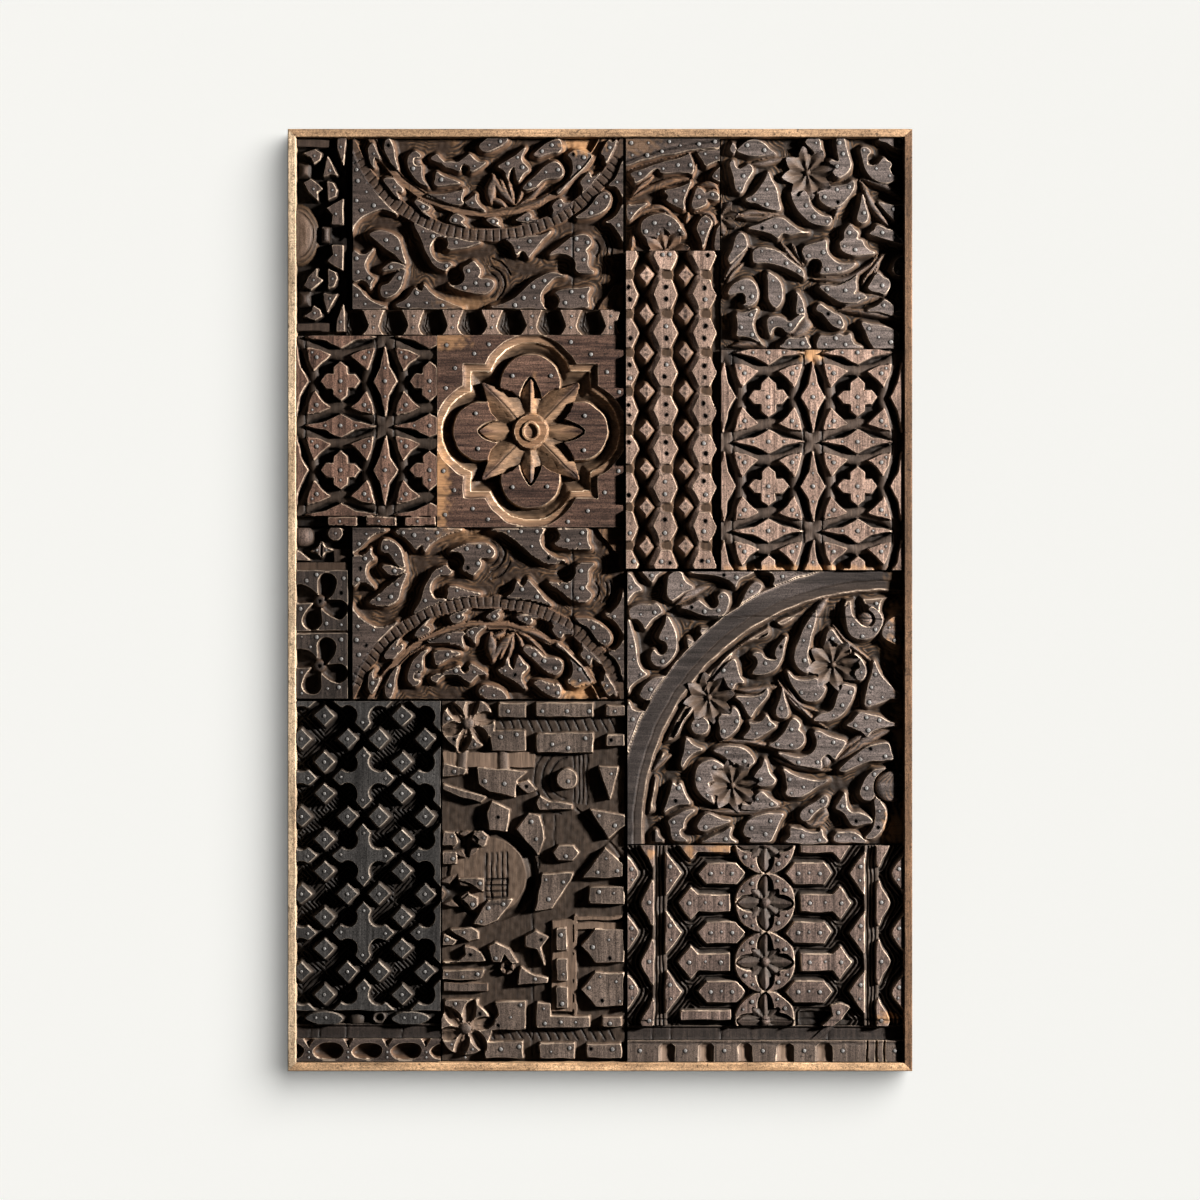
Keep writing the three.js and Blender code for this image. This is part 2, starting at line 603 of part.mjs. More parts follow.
const CARVERS = {
  scroll_strip: [scrollStrip, COLOURS.tan],
  arch_block_upper: [(block) => archBlock(block, false), COLOURS.greyBrown],
  spool_strip_upper: [spoolStripUpper, COLOURS.tan],
  tracery_block_left: [traceryLeftBlock, COLOURS.redBrown],
  rosette_block: [rosetteBlock, COLOURS.walnut],
  star_block: [starBlock, COLOURS.greyBrown],
  pinwheel_block: [pinwheelBlock, COLOURS.greyBrown],
  arch_block_lower: [(block) => archBlock(block, true), COLOURS.greyBrown],
  lattice_block: [latticeBlock, COLOURS.charcoal],
  plain_band_left: [slab, COLOURS.greyBrown],
  spool_strip_lower: [spoolStripLower, COLOURS.greyBrown],
  mixed_motif_block: [mixedMotifBlock, COLOURS.greyBrown],
  leaf_corner_block: [leafCornerBlock, COLOURS.greyBrown],
  leaf_block: [leafBlock, COLOURS.greyBrown],
  hexagon_block: [hexagonBlock, COLOURS.tan],
  tracery_block_right: [traceryRightBlock, COLOURS.redBrown],
  quarter_arch_block: [quarterArchBlock, COLOURS.greyBrown],
  geometric_block: [geometricBlock, COLOURS.redBrown],
  plain_band_right: [slab, COLOURS.greyBrown],
  dentil_strip: [dentilStrip, COLOURS.redBrown],
};

const panel = new THREE.Group();
panel.name = 'carved_wooden_panel';

function addPiece(name, solid, color, x = 0, z = 0) {
  const material = new THREE.MeshStandardMaterial({ color, roughness: 0.75, metalness: 0 });
  const mesh = new THREE.Mesh(geometryFrom(solid), material);
  mesh.name = name;
  mesh.position.set(x, 0, z);
  panel.add(mesh);
}

for (const side of ['top', 'bottom', 'left', 'right']) {
  addPiece(`frame_${side}`, frameRail(side), COLOURS.frame);
}
addPiece('back_board', backBoard(), COLOURS.board);
for (const [name, [carve, color]] of Object.entries(CARVERS)) {
  const block = blockSizes(name);
  addPiece(name, carve(block), color, block.left, block.bottom);
}

export default panel;
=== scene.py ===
"""Looks of the carved wooden panel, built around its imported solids.

Each carved block is a fine relief: a grid of heights over the block's face, worked out from strokes and
outlines in millimetres from the block's lower left corner, and closed with sides and a back.
"""

import math
import random

import bpy
import numpy as np
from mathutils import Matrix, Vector


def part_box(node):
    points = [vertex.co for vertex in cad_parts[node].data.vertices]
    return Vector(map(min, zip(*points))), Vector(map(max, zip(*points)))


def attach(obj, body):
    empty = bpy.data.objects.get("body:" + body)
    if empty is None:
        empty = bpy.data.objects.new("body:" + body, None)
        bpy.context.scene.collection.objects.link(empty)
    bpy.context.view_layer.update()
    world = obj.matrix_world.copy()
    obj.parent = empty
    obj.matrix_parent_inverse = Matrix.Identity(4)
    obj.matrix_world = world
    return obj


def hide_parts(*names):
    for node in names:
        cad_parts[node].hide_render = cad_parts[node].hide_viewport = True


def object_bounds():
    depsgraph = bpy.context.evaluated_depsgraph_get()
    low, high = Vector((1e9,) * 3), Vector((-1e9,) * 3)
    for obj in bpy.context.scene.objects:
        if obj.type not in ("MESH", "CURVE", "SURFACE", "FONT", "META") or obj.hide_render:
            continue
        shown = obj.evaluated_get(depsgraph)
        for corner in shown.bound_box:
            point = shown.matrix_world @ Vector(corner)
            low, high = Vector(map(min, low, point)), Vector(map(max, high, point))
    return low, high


MM = 0.001
FAR = 1000.0
EVERYWHERE = (slice(None), slice(None))

# Fineness of the reliefs, and how far from a shape its edge and its sides are worked out.
GRID = 1.6
FINE_GRID = 1.3
MARGIN = 14.0
WIDE_MARGIN = 26.0
THIN_MARGIN = 4.0

# Carving.
SCROLL_DEPTH = 12.5
EYE_DEPTH = 15.0
EYE_ROUND = 7.0
FLOWER_DEPTH = 9.0
BAND_DEPTH = 4.0
GOUGE_ROUND = 6.5
CHANNEL_REACH = 22.0
CHANNEL_ROUND = 8.5
FLUTE_PITCH = 4.4
FLUTE_HEIGHT = 0.4
HAND_WOBBLE = 0.55
WALL_STEEP = 4.5
PLATE_STEEP = 5.0
LEAST_WOOD = 3.0
# Depths are measured against this for the painted light and shade in carved wood.
SHADED_DEPTH = 14.0

# Wear: depths to which what stands counts as flat or as worn, and widths of worn wood beside edges.
FLAT_DEPTH = 1.5
WORN_DEPTH = 2.0
STANDING_WEAR = 1.4
CARVED_WEAR = 2.4
BORDER_WEAR = 2.2
FACE_ROUGHNESS = 0.14
TOOL_MARKS = 0.22

# Layers of irregular waves, each with its own seed.
SIDEWAYS, UPWARD, ROUGH, TOOLED, RAGGED, DRIFT, SHOWN = 0, 1, 2, 3, 5, 7, 8

# Nails.
NAIL_RADIUS = 2.7
PIN_RADIUS = 1.7
NAIL_SPACING = 17.0
NAIL_CLEAR = 3.6
NAIL_STAIN = 1.8
PIN_SHARE = 0.3
HOLE_WALL = 0.8
MOST_TRIES = 2500

# Colours.
# Raw wood also paints the highlights on flute ridges, and soot also paints the shade in flute hollows.
RAW_WOOD_AND_HIGHLIGHT = (0.42, 0.24, 0.12)
SOOT_AND_SHADE = (0.008, 0.006, 0.005)
TAN_EDGE = (0.95, 0.74, 0.55)
STEEL = (0.21, 0.198, 0.186)
RUST = (0.06, 0.04, 0.03)
BOARD_DARK = (0.05, 0.036, 0.026)
BOARD_LIGHT = (0.105, 0.078, 0.056)
BOARD_WORN = (0.1, 0.07, 0.05)
STAGE_COLOUR = (0.90, 0.895, 0.865)
ROOM_COLOUR = (0.9, 0.9, 0.89)

# Grain: waves a metre across the wood and along it.
BROAD_GRAIN = (170, 7)
FINE_GRAIN = (620, 40)

# Light: the empty room's own, and how the picture brightens it.
ROOM_LIGHT = 0.006
PICTURE_GAMMA = 0.85

# The camera frames the panel as the photograph does: the whole picture is this wide at the panel's face.
PICTURE_WIDTH = 1.56
FOCAL_LENGTH = 100.0
SENSOR_WIDTH = 36.0

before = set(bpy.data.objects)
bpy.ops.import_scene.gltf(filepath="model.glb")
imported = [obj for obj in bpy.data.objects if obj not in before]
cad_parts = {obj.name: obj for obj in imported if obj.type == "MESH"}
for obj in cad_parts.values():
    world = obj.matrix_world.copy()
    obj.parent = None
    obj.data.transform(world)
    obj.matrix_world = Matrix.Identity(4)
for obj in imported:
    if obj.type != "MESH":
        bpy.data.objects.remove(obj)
cad_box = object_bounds()


# Shapes on a block's face. Each has a box, and measures how far points are from its edge
# (less than nothing inside it) and how far along the shape they are, from 0 to 1.

class Stroke:
    """A line through points, with a half width at each."""

    def __init__(self, points, halves):
        self.points = points
        self.halves = halves
        reach = max(halves)
        right, up = zip(*points)
        self.box = (min(right) - reach, min(up) - reach, max(right) + reach, max(up) + reach)

    def measure(self, x, z):
        nearest = np.full(x.shape, FAR)
        along = np.zeros(x.shape)
        count = len(self.points) - 1
        for k in range(count):
            t, distance = from_segment(x, z, self.points[k], self.points[k + 1])
            distance = distance - (self.halves[k] + t * (self.halves[k + 1] - self.halves[k]))
            closer = distance < nearest
            nearest = np.where(closer, distance, nearest)
            along = np.where(closer, (k + t) / count, along)
        return nearest, along


class Outline:
    """A closed outline through points."""

    def __init__(self, points):
        self.points = points
        right, up = zip(*points)
        self.box = (min(right), min(up), max(right), max(up))

    def measure(self, x, z):
        nearest = np.full(x.shape, FAR)
        inside = np.zeros(x.shape, bool)
        for start, end in zip(self.points, self.points[1:] + self.points[:1]):
            nearest = np.minimum(nearest, from_segment(x, z, start, end)[1])
            (ax, az), (bx, bz) = start, end
            if az != bz:
                inside ^= ((az > z) != (bz > z)) & (x < ax + (bx - ax) * (z - az) / (bz - az))
        return np.where(inside, -nearest, nearest), np.zeros(x.shape)


class Disc:
    """A circle."""

    def __init__(self, x, z, radius):
        self.centre = (x, z)
        self.radius = radius
        self.box = (x - radius, z - radius, x + radius, z + radius)

    def measure(self, x, z):
        distance = np.hypot(x - self.centre[0], z - self.centre[1]) - self.radius
        return distance, np.zeros(x.shape)


class Ring:
    """A flat ring between two circles."""

    def __init__(self, x, z, inner, outer):
        self.centre = (x, z)
        self.middle = (inner + outer) / 2
        self.half = (outer - inner) / 2
        self.box = (x - outer, z - outer, x + outer, z + outer)

    def measure(self, x, z):
        reach = np.hypot(x - self.centre[0], z - self.centre[1])
        return np.abs(reach - self.middle) - self.half, np.zeros(x.shape)


def from_segment(x, z, start, end):
    """How far along a straight line the closest place to each point is, from 0 to 1, and how far away."""
    (ax, az), (bx, bz) = start, end
    dx, dz = bx - ax, bz - az
    t = np.clip(((x - ax) * dx + (z - az) * dz) / (dx * dx + dz * dz), 0, 1)
    return t, np.hypot(x - ax - t * dx, z - az - t * dz)


def smooth(points):
    """A smooth closed outline through points."""
    count = len(points)
    steps = 4
    outline = []
    for k in range(count):
        before, here, after, beyond = (np.array(points[(k + step) % count]) for step in (-1, 0, 1, 2))
        for step in range(steps):
            t = step / steps
            bend = (2 * before - 5 * here + 4 * after - beyond) * t * t
            turn = (3 * here - before - 3 * after + beyond) * t * t * t
            outline.append(tuple((2 * here + (after - before) * t + bend + turn) / 2))
    return Outline(outline)


def outlines(text):
    """Smooth outlines, written as points with a semicolon after each outline."""
    shapes = []
    for part in text.split(";"):
        points = [tuple(map(float, pair.split(","))) for pair in part.split()]
        shapes.append(smooth(points))
    return shapes


def box_shape(x, z, width, height):
    """An upright rectangle from its lower left corner."""
    return Outline([(x, z), (x + width, z), (x + width, z + height), (x, z + height)])


def around(x, z, reach, degrees):
    """The point at a reach and an angle from a centre."""
    angle = math.radians(degrees)
    return x + reach * math.cos(angle), z + reach * math.sin(angle)


def arc_points(x, z, radius, start, end, steps=24):
    """Points on a circle between two angles in degrees."""
    return [around(x, z, radius, start + (end - start) * k / steps) for k in range(steps + 1)]


def curved(x0, z0, x1, z1, bow):
    """Points on a curve that bows to the left of the way it runs."""
    steps = 12
    dx, dz = x1 - x0, z1 - z0
    length = math.hypot(dx, dz)
    middle_x = (x0 + x1) / 2 - dz / length * bow * 2
    middle_z = (z0 + z1) / 2 + dx / length * bow * 2
    points = []
    for k in range(steps + 1):
        t = k / steps
        a, b, c = (1 - t) ** 2, 2 * t * (1 - t), t * t
        points.append((a * x0 + b * middle_x + c * x1, a * z0 + b * middle_z + c * z1))
    return points


def leaf_half(t):
    """Pointed at both ends."""
    return math.sin(math.pi * t) ** 0.75


def drop_half(t):
    """Pointed at the start and round at the end."""
    return math.sin(math.pi / 2 * min(1.0, t / 0.82)) ** 0.8


def stem_half(_):
    """As wide all along."""
    return 1.0


def stroke(half_at, values):
    """A stroke with start, end, bow and width. The round end of a drop stays inside its length."""
    x0, z0, x1, z1, bow, width = values
    points = curved(x0, z0, x1, z1, bow)
    steps = len(points) - 1
    halves = [half_at(k / steps) * width / 2 for k in range(steps + 1)]
    if half_at is drop_half:
        length = math.dist(points[0], points[-1])
        keep = max(0.3, 1 - width / 2 / length)
        last = max(2, round(keep * steps))
        points, halves = points[:last + 1], halves[:last + 1]
    return Stroke(points, halves)


def wobble(x, z, wavelength, seed):
    """Smooth irregular values between about -1 and 1, from crossing waves."""
    rng = random.Random(seed)
    waves = 7
    total = np.zeros(x.shape)
    for _ in range(waves):
        angle = rng.uniform(0, math.tau)
        length = wavelength * rng.uniform(0.7, 1.6)
        phase = rng.uniform(0, math.tau)
        total += np.sin((x * math.cos(angle) + z * math.sin(angle)) * math.tau / length + phase)
    return total / math.sqrt(waves)


def from_whole(values):
    """How far values are from the nearest whole number."""
    return np.abs(np.mod(values + 0.5, 1) - 0.5)


def put(values, part, where, new):
    """Give a part of the grid new values where a condition holds."""
    values[part] = np.where(where, new, values[part])


def make_piece(name, vertices, faces, material, rounded=False):
    """A mesh object from points in metres and faces, shaded flat or rounded."""
    mesh = bpy.data.meshes.new(name)
    mesh.from_pydata(vertices, [], faces, shade_flat=not rounded)
    mesh.materials.append(material)
    piece = bpy.data.objects.new(name, mesh)
    bpy.context.collection.objects.link(piece)
    return piece


class Relief:
    """The carved face of one block. For each point of its grid it keeps the depth below the face, how far
    the point is inside what stands (less than nothing in what is carved), dark stains and painted shade,
    and raw wood and painted highlights."""

    def __init__(self, node, ground=0.0, grid=GRID, upside_down=False, sharp=38):
        low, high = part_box(node)
        self.node = node
        self.left, self.bottom = low[0] / MM, low[2] / MM
        self.width, self.height = (high[0] - low[0]) / MM, (high[2] - low[2]) / MM
        self.face, self.back = low[1] / MM, high[1] / MM
        right = np.linspace(0, self.width, round(self.width / grid) + 1)
        up = np.linspace(0, self.height, round(self.height / grid) + 1)
        self.x, self.z = np.meshgrid(right, up)
        self.step = right[1]
        self.seed = sum(map(ord, node))
        self.upside_down = upside_down
        self.sharp = math.radians(sharp)
        self.drawn_x = self.x + HAND_WOBBLE * self.waves(30, SIDEWAYS)
        self.drawn_z = self.flipped(self.z) + HAND_WOBBLE * self.waves(30, UPWARD)
        self.ground = ground
        shape = self.x.shape
        self.depth = np.full(shape, ground)
        self.edge = np.full(shape, -FAR if ground else FAR)
        self.snapped = np.full(shape, FAR)
        self.stain_and_shade, self.raw_and_highlight, self.shift_x, self.shift_z = (np.zeros(shape) for _ in range(4))
        self.nails = []

    def waves(self, wavelength, layer):
        """Irregular values over the face, different for each layer."""
        return wobble(self.x, self.z, wavelength, self.seed + layer)

    def flipped(self, z):
        """Heights measured from the top in a block that is set upside down."""
        return self.height - z if self.upside_down else z

    def from_border(self):
        """How far each point is from the block's own border."""
        sideways = np.minimum(self.x, self.width - self.x)
        upright = np.minimum(self.z, self.height - self.z)
        return np.minimum(sideways, upright)

    def holds(self, x, z, side, low, high):
        """Whether a point is farther than so much inside the face's sides, its lower and its upper edge."""
        return side < x < self.width - side and low < z < self.height - high

    def near(self, box, margin=MARGIN):
        """The part of the grid around a box."""
        x0, z0, x1, z1 = box
        if self.upside_down:
            z0, z1 = self.height - z1, self.height - z0
        rows, columns = self.x.shape
        row_step = self.height / (rows - 1)
        first_row = max(0, int((z0 - margin) / row_step))
        last_row = min(rows, max(first_row + 2, int((z1 + margin) / row_step) + 2))
        first_column = max(0, int((x0 - margin) / self.step))
        last_column = min(columns, max(first_column + 2, int((x1 + margin) / self.step) + 2))
        first_row = min(first_row, rows - 2)
        first_column = min(first_column, columns - 2)
        return slice(first_row, last_row), slice(first_column, last_column)

    def measured(self, shape, snap=True, margin=MARGIN):
        """Where a shape is on the grid. Points close to its edge are moved onto it."""
        part = self.near(shape.box, margin)
        distance, along = shape.measure(self.drawn_x[part], self.drawn_z[part])
        if snap:
            distance = self.snap(part, distance)
        return part, distance, along

    def nearest(self, shapes, limit, margin):
        """How far each point is from the closest of some shapes, up to a limit."""
        distance = np.full(self.x.shape, limit)
        for shape in shapes:
            part, one, _ = self.measured(shape, snap=False, margin=margin)
            distance[part] = np.minimum(distance[part], one)
        return distance

    def snap(self, part, distance):
        """Move points that are close to an edge onto it, unless another edge is closer."""
        slope_z, slope_x = np.gradient(distance, self.step)
        reach = 0.5 * self.step * np.maximum(np.abs(slope_x), np.abs(slope_z))
        close = (np.abs(distance) < reach) & (np.abs(distance) < self.snapped[part])
        put(self.shift_x, part, close, -distance * slope_x)
        put(self.shift_z, part, close, -distance * slope_z)
        put(self.snapped, part, close, np.abs(distance))
        return np.where(close, 0.0, distance)

    def cut(self, part, distance, depth):
        """Take wood away down to a depth, inside an edge."""
        self.depth[part] = np.maximum(self.depth[part], depth)
        self.edge[part] = np.minimum(self.edge[part], distance)

    def darken(self, part, amount):
        """Stain a part of the grid at least so dark."""
        self.stain_and_shade[part] = np.maximum(self.stain_and_shade[part], amount)

    def sink(self, shape, depth, rounding=GOUGE_ROUND, slant=0.0):
        """Gouge a shape out. With a slant it starts shallow and ends at its full depth."""
        part, distance, along = self.measured(shape)
        inside = np.clip(-distance / rounding, 0, 1)
        full = depth * (1 - slant + slant * along)
        self.cut(part, distance, full * np.sqrt(1 - (1 - inside) ** 2))

    def lower(self, shape, depth):
        """Lower a shape's surface to a flat depth, with steep sides."""
        part, distance, _ = self.measured(shape)
        self.cut(part, distance, np.clip(-distance * WALL_STEEP, 0, depth))

    def carve_round(self, islands, cleared=None, band=None):
        """Carve everything but flat islands: round channels with flutes along them, with painted shade in
        the flutes' hollows and a painted highlight of pale wood on their ridges. No island reaches into the
        cleared ring. A band may stand in it."""
        distance = self.nearest(islands, CHANNEL_REACH, CHANNEL_REACH)
        if cleared:
            distance = np.maximum(distance, -cleared.measure(self.drawn_x, self.drawn_z)[0])
            distance = np.minimum(distance, band.measure(self.drawn_x, self.drawn_z)[0])
        distance = self.snap(EVERYWHERE, distance)
        gouge = np.sin(math.pi / 2 * np.clip(distance / CHANNEL_ROUND, 0, 1))
        flutes = np.cos(math.tau * distance / FLUTE_PITCH + 2 * self.waves(20, DRIFT))
        shown = np.clip(0.6 + self.waves(28, SHOWN), 0, 1)
        shown = shown * np.clip(distance / FLUTE_PITCH - 0.3, 0, 1)
        self.depth = SCROLL_DEPTH * gouge - FLUTE_HEIGHT * flutes * shown
        # Painted shade darkens the flutes' hollows, and a painted highlight of pale wood lightens their
        # ridges.
        self.stain_and_shade = 0.6 * shown * np.clip(-flutes, 0, 1)
        self.raw_and_highlight = 0.3 * shown * np.clip(flutes, 0, 1)
        self.edge = -distance

    def raise_up(self, shape, top=0.0, steep=WALL_STEEP, dome=0.0, dome_width=10.0):
        """Leave a shape standing up to a depth below the face. A dome rounds it towards its edge."""
        part, distance, _ = self.measured(shape, margin=WIDE_MARGIN)
        inside = np.clip(-distance / dome_width, 0, 1)
        surface = top + dome * (1 - inside) ** 2 + np.maximum(distance, 0) * steep
        self.depth[part] = np.minimum(self.depth[part], surface)
        if top < WORN_DEPTH and not dome:
            self.edge[part] = np.maximum(self.edge[part], -distance)

    def score(self, points, depth=1.6, stain_and_shade=0.7):
        """Cut a thin groove along points and darken it. With a depth below nothing it is a thin ridge."""
        line = Stroke(points, [0.0] * len(points))
        part, distance, _ = self.measured(line, margin=THIN_MARGIN)
        steps_away = distance / self.step
        self.depth[part] += depth * np.clip(1 - steps_away, 0, 1)
        self.darken(part, stain_and_shade * np.clip(1.4 - steps_away, 0, 1))

    def bare(self, x, z, wide, tall, amount=1.0):
        """A patch where the wood is raw and pale."""
        reach = np.hypot((self.drawn_x - x) / wide, (self.drawn_z - z) / tall)
        rough = reach + 0.35 * self.waves(9, RAGGED)
        self.raw_and_highlight = np.maximum(self.raw_and_highlight, amount * np.clip(1.6 - rough, 0, 1))

    def hole(self, x, z, radius=2.4, depth=4.0):
        """A black nail hole."""
        part, distance, _ = self.measured(Disc(x, z, radius))
        self.depth[part] = np.maximum(self.depth[part], depth * np.clip(-distance / HOLE_WALL, 0, 1))
        self.darken(part, np.clip(1 - distance, 0, 1))

    def nail(self, x, z, radius=NAIL_RADIUS):
        """A nail head, with a dark stain in the wood round it."""
        part, distance, _ = self.measured(Disc(x, z, radius), snap=False)
        self.darken(part, 0.75 * np.clip(1 - distance / NAIL_STAIN, 0, 1))
        self.nails.append((x, self.flipped(z), radius))

    def nail_flats(self, spacing=NAIL_SPACING, share_holes=0.06):
        """Scatter nails, small pins and a few holes over the flat places that were left standing."""
        rng = random.Random(self.seed)
        free = (np.minimum(self.edge, self.from_border()) > NAIL_CLEAR) & (self.depth < FLAT_DEPTH)
        rows, columns = np.nonzero(free)
        order = list(range(len(rows)))
        rng.shuffle(order)
        taken = []
        for k in order[:MOST_TRIES]:
            spot = (self.x[rows[k], columns[k]], self.z[rows[k], columns[k]])
            if all(math.dist(spot, other) > spacing for other in taken):
                taken.append(spot)
        for x, z in taken:
            kind = rng.random()
            if kind < share_holes:
                self.hole(x, self.flipped(z))
            else:
                radius = PIN_RADIUS if kind < share_holes + PIN_SHARE else NAIL_RADIUS
                self.nail(x, self.flipped(z), radius * rng.uniform(0.88, 1.12))

    def worn(self):
        """How worn each point is: edges of what stands, and the block's own border."""
        standing = np.clip(0.8 - self.edge / STANDING_WEAR, 0, 1)
        carved = np.clip(1.2 + self.edge / CARVED_WEAR, 0, 1)
        rim = np.clip(1 - self.from_border() / BORDER_WEAR, 0, 1) * (self.depth < WORN_DEPTH)
        return np.maximum(np.where(self.edge >= 0, standing, carved), 0.7 * rim)

    def build(self, material):
        """Make the block's mesh and let it stand for its solid. Gives the places of its nails."""
        rough = FACE_ROUGHNESS * (1 + self.waves(45, ROUGH)) / 2
        tooled = TOOL_MARKS * self.waves(10, TOOLED) * np.clip(self.depth / 4 - 1.2, 0, 1)
        depth = np.clip(self.depth + rough + tooled, 0, self.back - self.face - LEAST_WOOD)
        shift_x, shift_z = self.shift_x, self.shift_z * (-1 if self.upside_down else 1)
        shift_x[:, [0, -1]] = 0
        shift_z[[0, -1], :] = 0
        x = self.left + self.x + shift_x
        z = self.bottom + self.z + shift_z
        front = np.stack([x, self.face + depth, z], axis=-1).reshape(-1, 3)
        index = np.arange(self.x.size).reshape(self.x.shape)
        loop = np.concatenate([index[0, :-1], index[:-1, -1], index[-1, :0:-1], index[:0:-1, 0]])
        behind = front[loop].copy()
        behind[:, 1] = self.back
        back_loop = len(front) + np.arange(len(loop))
        sides = np.stack([np.roll(loop, -1), loop, back_loop, np.roll(back_loop, -1)], axis=-1)
        vertices = np.concatenate([front, behind]) * MM
        faces = grid_triangles(index, depth).tolist() + sides.tolist() + [back_loop[::-1].tolist()]
        piece = make_piece(self.node + "_relief", vertices.tolist(), faces, material, rounded=True)
        carved = np.clip(depth / SHADED_DEPTH, 0, 1)
        values = {"carved": carved, "worn": self.worn(), "stain_and_shade": self.stain_and_shade, "raw_and_highlight": self.raw_and_highlight}
        for key, value in values.items():
            layer = piece.data.attributes.new(key, "FLOAT", "POINT")
            padded = np.concatenate([value.reshape(-1), value.reshape(-1)[loop]])
            layer.data.foreach_set("value", padded.astype(np.float32))
        piece.data.set_sharp_from_angle(angle=self.sharp)
        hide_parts(self.node)
        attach(piece, "root")
        return [(self.left + nx, self.face, self.bottom + nz, radius) for nx, nz, radius in self.nails]


def grid_triangles(index, depth):
    """Two triangles for each cell, split along the diagonal whose ends are closer in depth."""
    a, b, c, d = index[:-1, :-1], index[:-1, 1:], index[1:, 1:], index[1:, :-1]
    flat = depth.reshape(-1)
    first = np.abs(flat[a] - flat[c]) <= np.abs(flat[b] - flat[d])
    one = np.where(first[..., None], np.stack([a, b, c], -1), np.stack([a, b, d], -1))
    two = np.where(first[..., None], np.stack([a, c, d], -1), np.stack([b, c, d], -1))
    return np.concatenate([one.reshape(-1, 3), two.reshape(-1, 3)])


# The flat islands between the scrolls: points from each block's lower left corner.

ARCH_ISLANDS = """
    22,97 32,101 42,101 52,98 59,92 62,83 65,72 69,60 62,64 54,71 44,78 36,85 29,91; 0,74 9,71 18,71
    27,78 20,68 16,58 18,48 24,42 28,40 24,34 23,27 19,34 10,38 0,39; 38,51 42,56 49,60 57,60 64,58
    68,55 62,53 52,51 44,51; 38,30 43,32 48,34 54,42 60,48 68,51 66,42 63,32 58,24 52,18 44,15 39,17
    37,23; -3,31 4,29 10,24 16,17 24,10 33,6 41,2 -3,0; 60,2 68,12 75,19 81,27 85,24 91,23 93,31 99,23
    108,16 120,10 130,6 138,1; 80,111 90,107 100,102 112,97 122,94 112,92 106,90 102,84 101,77 103,70
    108,64 117,60 126,60 130,55 127,51 120,50 112,53 105,58 100,66 95,76 91,88 86,99; 124,93 138,91
    152,88 166,86 154,83 143,80 132,78 124,79 125,86; 126,31 135,33 142,38 145,46 144,54 150,58 157,62
    161,57 165,52 166,45 164,41 169,38 176,39 182,37 184,31 180,25 172,21 160,20 148,22 137,26; 200,91
    214,92 230,94 246,97 258,101 248,92 240,82 233,73 229,68 226,73 222,76 218,75 214,71 211,79 206,86;
    256,71 266,78 275,86 284,93 294,96 303,96 309,91 310,85 304,77 307,70 306,58 309,52 314,48 304,47
    294,48 290,52 290,60 286,67 279,72 268,73; 182,2 196,6 208,13 220,23 232,33 244,42 256,47 267,46
    276,43 264,41 255,35 248,27 244,17 245,8 249,1; 263,20 272,24 284,27 296,26 309,27 306,20 305,12
    305,3 290,2 266,2 269,9 267,15; 354,84 350,94 344,103 336,111 329,113 337,117 345,124 350,133
    354,140 358,112; 354,200 348,182 342,171 334,162 341,161 347,156 351,147 354,140 358,170; -3,200
    3,196 10,180 19,165 29,152 40,139 50,130 57,124 48,128 36,130 22,126 10,119 2,110 -3,105; 72,194
    75,202 82,205 88,199 80,197 79,190 84,186 89,186 90,176 92,167 97,160 88,164 80,172 74,183; 107,162
    108,170 109,178 116,174 126,169 139,164 128,162 116,161; 117,190 127,191 136,191 144,196 152,201
    157,196 164,191 173,191 164,184 154,179 153,185 148,189 142,187 139,180 130,183 121,186; 102,196
    109,201 113,196 119,190 110,192; 96,148 110,149 125,150 138,153 144,156 142,148 142,141 145,138
    136,136 124,138 110,142; 147,139 152,142 159,149 159,143 162,137 167,132 172,128 160,130 152,133;
    166,209 165,214 170,219 178,223 200,223 196,215 188,209 178,206 170,206; 190,186 200,193 210,199
    219,206 225,209 220,201 219,195 221,190 228,182 222,176 216,167 213,176 210,185 204,180 201,170
    199,178 194,183; 236,201 240,206 248,213 258,218 268,221 271,212 268,205 260,204 250,201 243,199;
    222,158 232,168 242,178 252,186 262,191 269,189 273,182 272,175 265,171 255,170 246,167 240,160
    234,157 226,155; 280,200 286,205 294,206 303,204 311,200 306,192 300,184 292,175 283,166 274,157
    267,151 266,155 274,160 282,168 287,178 287,188 284,195; 291,119 302,127 312,137 320,147 328,152
    334,149 335,142 331,133 322,126 310,121 300,119; 43,218 48,221 53,210 55,198 58,181 52,188 47,197
    42,207; 20,207 25,215 30,207 35,196 28,198 26,190 28,184 22,192; 41,168 52,170 58,164 65,157 64,152
    57,154 60,143 52,152; 82,138 84,142 92,138 100,133 98,129 93,128 97,123 101,118 92,126; 126,116
    132,123 139,122 145,117 141,113 148,107 138,110 130,112; 174,116 180,119 186,118 190,114 187,111
    192,107 183,109; 213,116 219,121 228,125 233,121 232,117 240,115 226,113; 260,133 265,140 271,143
    275,138 285,138 276,131 266,125 259,121 262,128; 297,165 303,173 308,178 311,171 321,176 315,168
    307,159 299,151 301,158; 324,202 328,212 333,219 338,216 343,219 340,210 336,202 330,191 328,199
"""

